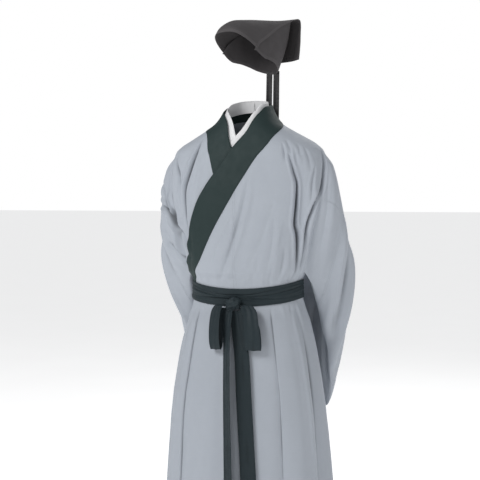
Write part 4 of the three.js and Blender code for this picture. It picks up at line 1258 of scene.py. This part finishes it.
# Materials
class Shader:
    """Adds nodes to a material, each with its values or the sockets that feed it."""

    def __init__(self, name):
        self.material = bpy.data.materials.new(name)
        self.material.use_nodes = True
        self.tree = self.material.node_tree
        self.tree.nodes.clear()

    def add(self, kind, inputs=(), **settings):
        made = self.tree.nodes.new(kind)
        for key, value in settings.items():
            setattr(made, key, value)
        for key, value in dict(inputs).items():
            self.feed(made.inputs[key], value)
        return made

    def feed(self, socket, value):
        if isinstance(value, bpy.types.NodeSocket):
            self.tree.links.new(value, socket)
        else:
            socket.default_value = value

    def math(self, operation, *values):
        return self.add("ShaderNodeMath", dict(enumerate(values)), operation=operation).outputs[0]

    def map_range(self, value, low, high, to_low=0.0, to_high=1.0):
        named = {"Value": value, "From Min": low, "From Max": high, "To Min": to_low, "To Max": to_high}
        return self.add("ShaderNodeMapRange", named, interpolation_type="SMOOTHSTEP").outputs["Result"]

    def uv(self, name):
        return self.add("ShaderNodeUVMap", uv_map=name).outputs["UV"]

    def parts(self, vector):
        return self.add("ShaderNodeSeparateXYZ", {0: vector}).outputs

    def scaled(self, vector, *scale):
        return self.add("ShaderNodeMapping", {"Vector": vector, "Scale": scale}).outputs[0]

    def noise(self, vector, scale, detail=3.0, roughness=0.5):
        named = {"Vector": vector, "Scale": scale, "Detail": detail, "Roughness": roughness}
        return self.add("ShaderNodeTexNoise", named).outputs["Fac"]

    def tint(self, factor, colour, other):
        made = self.add("ShaderNodeMix", data_type="RGBA", blend_type="MIX")
        for index, value in ((0, factor), (6, colour), (7, other)):
            self.feed(made.inputs[index], value)
        return made.outputs[2]

    def bump(self, height, distance, strength, below=None):
        named = {"Height": height, "Distance": distance, "Strength": strength}
        if below is not None:
            named["Normal"] = below
        return self.add("ShaderNodeBump", named).outputs["Normal"]


def shade(colour, by):
    """A colour made lighter or darker, as the four numbers of a socket."""
    return tuple(min(1.0, c * by) for c in colour[:3]) + (1.0,)


def cloth_material(name, colour, thread, look):
    """Woven cloth. look holds the finish of its kind of cloth."""
    s = Shader(name)
    place = s.add("ShaderNodeTexCoord").outputs["Object"]
    cloth, edge = s.uv("cloth"), s.uv("edge")
    along, away = s.parts(edge)[0], s.parts(edge)[1]
    wide, fine = s.noise(place, 3.1, 2.0), s.noise(place, 46.0, 4.0, 0.6)

    # colour: wide fading, a fine mottle, slubs along the threads
    slubs = s.noise(s.scaled(cloth, 18.0, 620.0, 1.0), 1.0, 2.0)
    faded, fresh = shade(colour, 1 - look["mottle"]), shade(colour, 1 + look["mottle"])
    base = s.tint(s.map_range(wide, 0.3, 0.7), faded, fresh)
    base = s.tint(s.map_range(fine, 0.35, 0.65, 0.0, look["mottle"] * 2.4), base, shade(colour, 0.8))
    base = s.tint(s.map_range(slubs, 0.55, 0.8, 0.0, look["slub"]), base, shade(colour, 1.35))
    # the hem, the worn edge, the shade in the folds and the stitches
    hem = s.map_range(away, look["hem"], look["hem"] - 0.0006)
    base = s.tint(s.math("MULTIPLY", hem, look["hem_light"]), base, shade(colour, 1.5))
    worn = s.math("MULTIPLY", s.map_range(away, 0.0014, 0.0), s.map_range(fine, 0.4, 0.7))
    base = s.tint(s.math("MULTIPLY", worn, 0.35), base, shade(colour, 1.5))
    # painted shade: where the fold map holds a crease's depth or a pleat's edge, the colour is darkened
    # towards a sixth of itself
    base = s.tint(s.map_range(s.parts(s.uv("fold"))[0], 0.12, 1.0, 0.0, 0.8), base, shade(colour, 0.16))
    dash = s.map_range(s.math("SINE", s.math("MULTIPLY", along, 2 * math.pi / 0.0042)), -0.35, 0.0)
    line = s.map_range(s.math("ABSOLUTE", s.math("SUBTRACT", away, look["seam"])), 0.0006, 0.0002)
    stitch = s.math("MULTIPLY", dash, line)
    base = s.tint(s.math("MULTIPLY", stitch, 0.6), base, shade(colour, 0.62))

    # height: fine wrinkles, the seam's pucker, its stitches and the weave
    wrinkle = s.noise(s.scaled(place, 1.0, 1.0, 0.45), 16.0, 3.0)
    gathered = s.noise(s.scaled(edge, 120.0, 16.0, 1.0), 1.0)
    pucker = s.math("MULTIPLY", s.map_range(away, 0.016, 0.002), gathered)
    turns = 2 * math.pi / thread
    warp, weft = (s.math("SINE", s.math("MULTIPLY", s.parts(cloth)[i], turns)) for i in (0, 1))
    normal = s.bump(wrinkle, 0.004, look["wrinkle"])
    normal = s.bump(pucker, 0.0016, 0.6, normal)
    normal = s.bump(stitch, 0.0003, 0.7, normal)
    normal = s.bump(s.math("MULTIPLY", warp, weft), 0.00006, 0.5, normal)

    inputs = {
        "Base Color": base,
        "Roughness": s.map_range(fine, 0.3, 0.7, look["roughness"] - 0.05, look["roughness"] + 0.06),
        "Normal": normal,
        "Specular IOR Level": look["specular"],
        "Sheen Weight": look["sheen"],
        "Sheen Roughness": look["sheen_roughness"],
        "Sheen Tint": shade(colour, look["sheen_tint"]),
    }
    shader = s.add("ShaderNodeBsdfPrincipled", inputs)
    s.add("ShaderNodeOutputMaterial", {"Surface": shader.outputs["BSDF"]})
    return s.material


# The finish of each kind of cloth; seam and hem are in metres from the edge
LOOK_COLUMNS = "roughness specular sheen sheen_roughness sheen_tint mottle slub seam hem hem_light wrinkle"
LOOKS = {
    "robe": (0.62, 0.28, 0.16, 0.5, 1.3, 0.025, 0.1, 0.004, 0.0, 0.0, 0.35),
    "band": (0.6, 0.2, 0.1, 0.5, 2.0, 0.05, 0.14, 0.0035, 0.0, 0.0, 0.3),
    "under": (0.75, 0.2, 0.1, 0.6, 1.0, 0.015, 0.05, 0.004, 0.0, 0.0, 0.15),
    "cap": (0.78, 0.2, 0.35, 0.55, 2.2, 0.07, 0.12, 0.0095, 0.009, 0.35, 0.3),
    "ribbon": (0.42, 0.4, 0.1, 0.4, 2.0, 0.04, 0.1, 0.002, 0.0, 0.0, 0.2),
}


def settings():
    """The sizes and colours that the panel shows."""
    return bpy.context.scene.hanfu_costume


def cloth(slot, look, colour, thread):
    """The slot's material, made the first time that a piece asks for it."""
    name = "Woven " + slot.replace("_", " ")
    finish = dict(zip(LOOK_COLUMNS.split(), LOOKS[look]))
    return bpy.data.materials.get(name) or cloth_material(name, colour, thread, finish)


def place(node, shape, slot, look, colour, wall, thread):
    """The cloth piece that stands for a node of the part."""
    points, faces, outward, maps = shape
    points, outward = points.reshape(-1, 3), outward.reshape(-1, 3)
    material = cloth(slot, look, colour, thread)
    obj = cloth_object(node + "_cloth", points, faces, outward, wall, maps, slot, material)
    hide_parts(node)
    return obj


def colour_property(name, description, default):
    """A colour that the panel shows."""
    return bpy.props.FloatVectorProperty(
        name=name,
        description=description,
        default=default,
        subtype="COLOR",
    )


class HanfuSettings(bpy.types.PropertyGroup):
    """Sizes and colours of the costume that a user may change."""

    wall: bpy.props.FloatProperty(
        name="Cloth wall",
        description="Thickness of the robe's cloth",
        default=0.0012,
        min=0.0005,
        unit="LENGTH",
    )
    band_wall: bpy.props.FloatProperty(
        name="Band wall",
        description="Thickness of the folded collar band",
        default=0.0024,
        min=0.001,
        unit="LENGTH",
    )
    strength: bpy.props.FloatProperty(
        name="Creases",
        description="Depth of the creases",
        default=1.0,
        min=0.0,
        max=1.2,
        subtype="FACTOR",
    )
    thread: bpy.props.FloatProperty(
        name="Thread",
        description="Distance between two threads of the weave",
        default=0.0009,
        unit="LENGTH",
    )
    robe: colour_property("Robe", "Colour of the robe", (0.375, 0.405, 0.45))
    band: colour_property("Bands", "Colour of the collar band", (0.020, 0.034, 0.034))
    sash: colour_property("Sash", "Colour of the sash", (0.019, 0.029, 0.034))
    under: colour_property("Under-collar", "Colour of the under-collar", (0.78, 0.78, 0.79))
    cap: colour_property("Cap", "Colour of the cap", (0.064, 0.06, 0.062))
    ribbon: colour_property("Ribbons", "Colour of the ribbons", (0.012, 0.012, 0.013))
    floor: bpy.props.FloatProperty(
        name="Floor",
        description="Height of the floor below the hem",
        default=CAD_BOX[0].z - 0.07,
        unit="LENGTH",
    )


class HANFU_OT_robe(bpy.types.Operator):
    """Makes the two halves of the robe and the two overlaps of its front."""

    bl_idname = "hanfu.robe"
    bl_label = "Robe"

    def execute(self, context):
        s = settings()
        look = ("robe_cloth", "robe", s.robe, s.wall * 1000, s.thread)
        halves = (("body_left", 1, left_lift), ("body_right", -1, no_lift))
        for node, side, lift in halves:
            half = place(node, body_half(side, lift, s.strength), *look)
        outer = place("overlap_outer", overlap_piece(1, 7, OUTER_TIP, OUTER_LIFT, s.strength), *look)
        inner = place("overlap_inner", overlap_piece(-1, 3, INNER_TIP, 0, s.strength), *look)
        return {"FINISHED"}


class HANFU_OT_sleeves(bpy.types.Operator):
    """Makes the pieced lower part of each sleeve."""

    bl_idname = "hanfu.sleeves"
    bl_label = "Sleeves"

    def execute(self, context):
        s = settings()
        for name, side in (("left", 1), ("right", -1)):
            shape = lower_sleeve(side, s.strength)
            obj = place("sleeve_" + name, shape, "robe_cloth", "robe", s.robe, s.wall * 1000, s.thread)
        return {"FINISHED"}


class HANFU_OT_collars(bpy.types.Operator):
    """Makes the collar bands and the under-collar."""

    bl_idname = "hanfu.collars"
    bl_label = "Collars"

    def execute(self, context):
        s = settings()
        bands = (("collar_left", 1, left_lift), ("collar_right", -1, no_lift))
        for name, side, lift in bands:
            stations = np.linspace(0, COLLAR[side]["t_at_z"](COLLAR_END), 260)
            raised = lifted(lift, BAND_LIFT)
            shape = collar_strip(side, stations, -0.015, 1.0, raised, s.strength, 0.7)
            obj = place(name, shape, "collar_cloth", "band", s.band, s.band_wall * 1000, s.thread)
        stations = np.linspace(0, UNDER_END, 220)
        rise = UNDER_RISE + 0.17 * bump((stations - 6.7) / 1.7)[:, None]
        for name, side, depth in (("collar_left", 1, 4.3), ("collar_right", -1, 6.8)):
            lowered = lifted(no_lift, -depth)
            shape = collar_strip(side, stations, 1 - UNDER_DEPTH, 1 + rise, lowered, s.strength, 0.4)
            obj = place("under_" + name, shape, "under_cloth", "under", s.under, UNDER_WALL, s.thread * 0.7)
        return {"FINISHED"}


class HANFU_OT_sash(bpy.types.Operator):
    """Makes the sash round the waist, its knot, loops and tails."""

    bl_idname = "hanfu.sash"
    bl_label = "Sash and bow"

    def execute(self, context):
        s = settings()

        def strip(node, shape):
            obj = place(node, shape, "sash_cloth", "band", s.sash, SASH_WALL, s.thread)

        strip("sash_wrap", sash_wrap())
        knot = knot_object(cloth("sash_cloth", "band", s.sash, s.thread))
        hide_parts("sash_knot")
        # each pleat: where it lies across the strip, height, half width, and how far it runs
        pleats = [(-0.28, 1.6, 0.1, 60.0), (0.05, -1.6, 0.09, 90.0), (0.3, 1.3, 0.09, 50.0)]
        tails = (("sash_tail_left", LEFT_TAIL, 0.645), ("sash_tail_right", RIGHT_TAIL, 0.60))
        for name, rows, length in tails:
            p, faces, face, maps = sash_strip(rows, 200, pleats)
            forward = np.where((face[..., 1:2] > 0).mean() > 0.5, -face, face)
            strip(name, (p, faces, forward, maps))
        for name, rows in (("bow_loop_left", LEFT_LOOP), ("bow_loop_right", RIGHT_LOOP)):
            p, faces, face, maps = sash_strip(rows, 180, pleats)
            middle = p.reshape(-1, 3).mean(0)
            outward = face * np.sign(((p - middle) * face).sum())
            strip(name, (p, faces, outward, maps))
        return {"FINISHED"}


class HANFU_OT_cap(bpy.types.Operator):
    """Makes the cap's cover and back and its two ribbons."""

    bl_idname = "hanfu.cap"
    bl_label = "Cap and ribbons"

    def execute(self, context):
        s = settings()
        thick = s.thread * 1.3
        cover = place("cap_cover", cap_cover(), "cap_cloth", "cap", s.cap, COVER_WALL, thick)
        back = place("cap_back", cap_back(), "cap_cloth", "cap", s.cap, CAP_BACK_WALL, thick)
        ribbons = (("cap_ribbon_left", 56, 101, -2), ("cap_ribbon_right", 30, 112.5, -3))
        for name, x, cap_y, sway in ribbons:
            shape = cap_ribbon(x, cap_y, sway, s.strength)
            obj = place(name, shape, "ribbon_cloth", "ribbon", s.ribbon, RIBBON_CLOTH, s.thread)
        return {"FINISHED"}


class HANFU_OT_stage(bpy.types.Operator):
    """Sets the floor, the soft lights, the backdrop light and the camera."""

    bl_idname = "hanfu.stage"
    bl_label = "Stage"

    def execute(self, context):
        bpy.ops.object.select_all(action="DESELECT")
        bpy.ops.mesh.primitive_plane_add(size=180, location=(0, 0, settings().floor))
        ground = context.object
        ground.name = "floor"
        ground.data.materials.append(floor_material())

        lights = (
            # name, azimuth, elevation, distance, size, power
            ("key", -28, 36, 4.0, 1.4, 85),
            ("fill", 70, 16, 4.4, 2.6, 25),
            ("back", 165, 40, 4.2, 2.4, 50),
        )
        aim = Vector((0, 0, -0.5))
        for name, azimuth, elevation, distance, size, power in lights:
            a, e = math.radians(azimuth), math.radians(elevation)
            way = Vector((math.sin(a) * math.cos(e), -math.cos(a) * math.cos(e), math.sin(e)))
            bpy.ops.object.light_add(type="AREA", location=aim + way * distance)
            light = context.object
            light.name = name
            light.data.size = size
            light.data.energy = power
            light.rotation_euler = way.to_track_quat("Z", "Y").to_euler()

        world = bpy.data.worlds.new("Soft white room")
        world.use_nodes = True
        tree = world.node_tree
        seen = tree.nodes["Background"]
        seen.inputs["Color"].default_value = (1, 1, 1, 1)
        soft = tree.nodes.new("ShaderNodeBackground")
        soft.inputs["Color"].default_value = (0.97, 0.98, 1, 1)
        soft.inputs["Strength"].default_value = 0.26
        rays = tree.nodes.new("ShaderNodeLightPath")
        either = tree.nodes.new("ShaderNodeMixShader")
        tree.links.new(rays.outputs["Is Camera Ray"], either.inputs[0])
        tree.links.new(soft.outputs[0], either.inputs[1])
        tree.links.new(seen.outputs[0], either.inputs[2])
        tree.links.new(either.outputs[0], tree.nodes["World Output"].inputs["Surface"])
        context.scene.world = world
        context.scene.view_settings.view_transform = "Standard"

        camera_data = bpy.data.cameras.new("camera")
        camera = bpy.data.objects.new("camera", camera_data)
        context.scene.collection.objects.link(camera)
        azimuth, elevation, distance = math.radians(20), math.radians(2), 3.8
        right = Vector((math.cos(azimuth), math.sin(azimuth), 0))
        aim = Vector((0, 0, -0.366)) - right * 0.024
        way = Vector(
            (
                math.sin(azimuth) * math.cos(elevation),
                -math.cos(azimuth) * math.cos(elevation),
                math.sin(elevation),
            )
        )
        camera.location = aim + way * distance
        camera.rotation_euler = way.to_track_quat("Z", "Y").to_euler()
        camera_data.sensor_width = 36
        camera_data.lens = 95
        context.scene.camera = camera
        return {"FINISHED"}


def floor_material():
    """Pale, matt floor that stays bright far off."""
    s = Shader("floor")
    place = s.add("ShaderNodeTexCoord").outputs["Object"]
    base = s.tint(s.map_range(s.noise(place, 2.0), 0.3, 0.7), (0.9, 0.9, 0.9, 1), (0.93, 0.93, 0.93, 1))
    shader = s.add("ShaderNodeBsdfPrincipled", {"Base Color": base, "Roughness": 0.9})
    shader.inputs["Emission Color"].default_value = (1, 1, 1, 1)
    shader.inputs["Emission Strength"].default_value = 0.6
    s.add("ShaderNodeOutputMaterial", {"Surface": shader.outputs["BSDF"]})
    return s.material


class HANFU_PT_panel(bpy.types.Panel):
    """The costume's sizes, colours and pieces, in the 3D view's sidebar."""

    bl_idname = "HANFU_PT_panel"
    bl_label = "Hanfu costume"
    bl_space_type = "VIEW_3D"
    bl_region_type = "UI"
    bl_category = "Costume"

    def draw(self, context):
        for name in HanfuSettings.__annotations__:
            self.layout.prop(context.scene.hanfu_costume, name)
        for operator in OPERATORS:
            self.layout.operator(operator.bl_idname)


OPERATORS = (
    HANFU_OT_robe,
    HANFU_OT_sleeves,
    HANFU_OT_collars,
    HANFU_OT_sash,
    HANFU_OT_cap,
    HANFU_OT_stage,
)
CLASSES = (HanfuSettings, *OPERATORS, HANFU_PT_panel)


def register():
    for one in CLASSES:
        bpy.utils.register_class(one)
    bpy.types.Scene.hanfu_costume = bpy.props.PointerProperty(type=HanfuSettings)


def unregister():
    del bpy.types.Scene.hanfu_costume
    for one in reversed(CLASSES):
        bpy.utils.unregister_class(one)


def main():
    register()
    bpy.ops.hanfu.robe()
    bpy.ops.hanfu.sleeves()
    bpy.ops.hanfu.collars()
    bpy.ops.hanfu.sash()
    bpy.ops.hanfu.cap()
    bpy.ops.hanfu.stage()


if __name__ == "__main__":
    main()
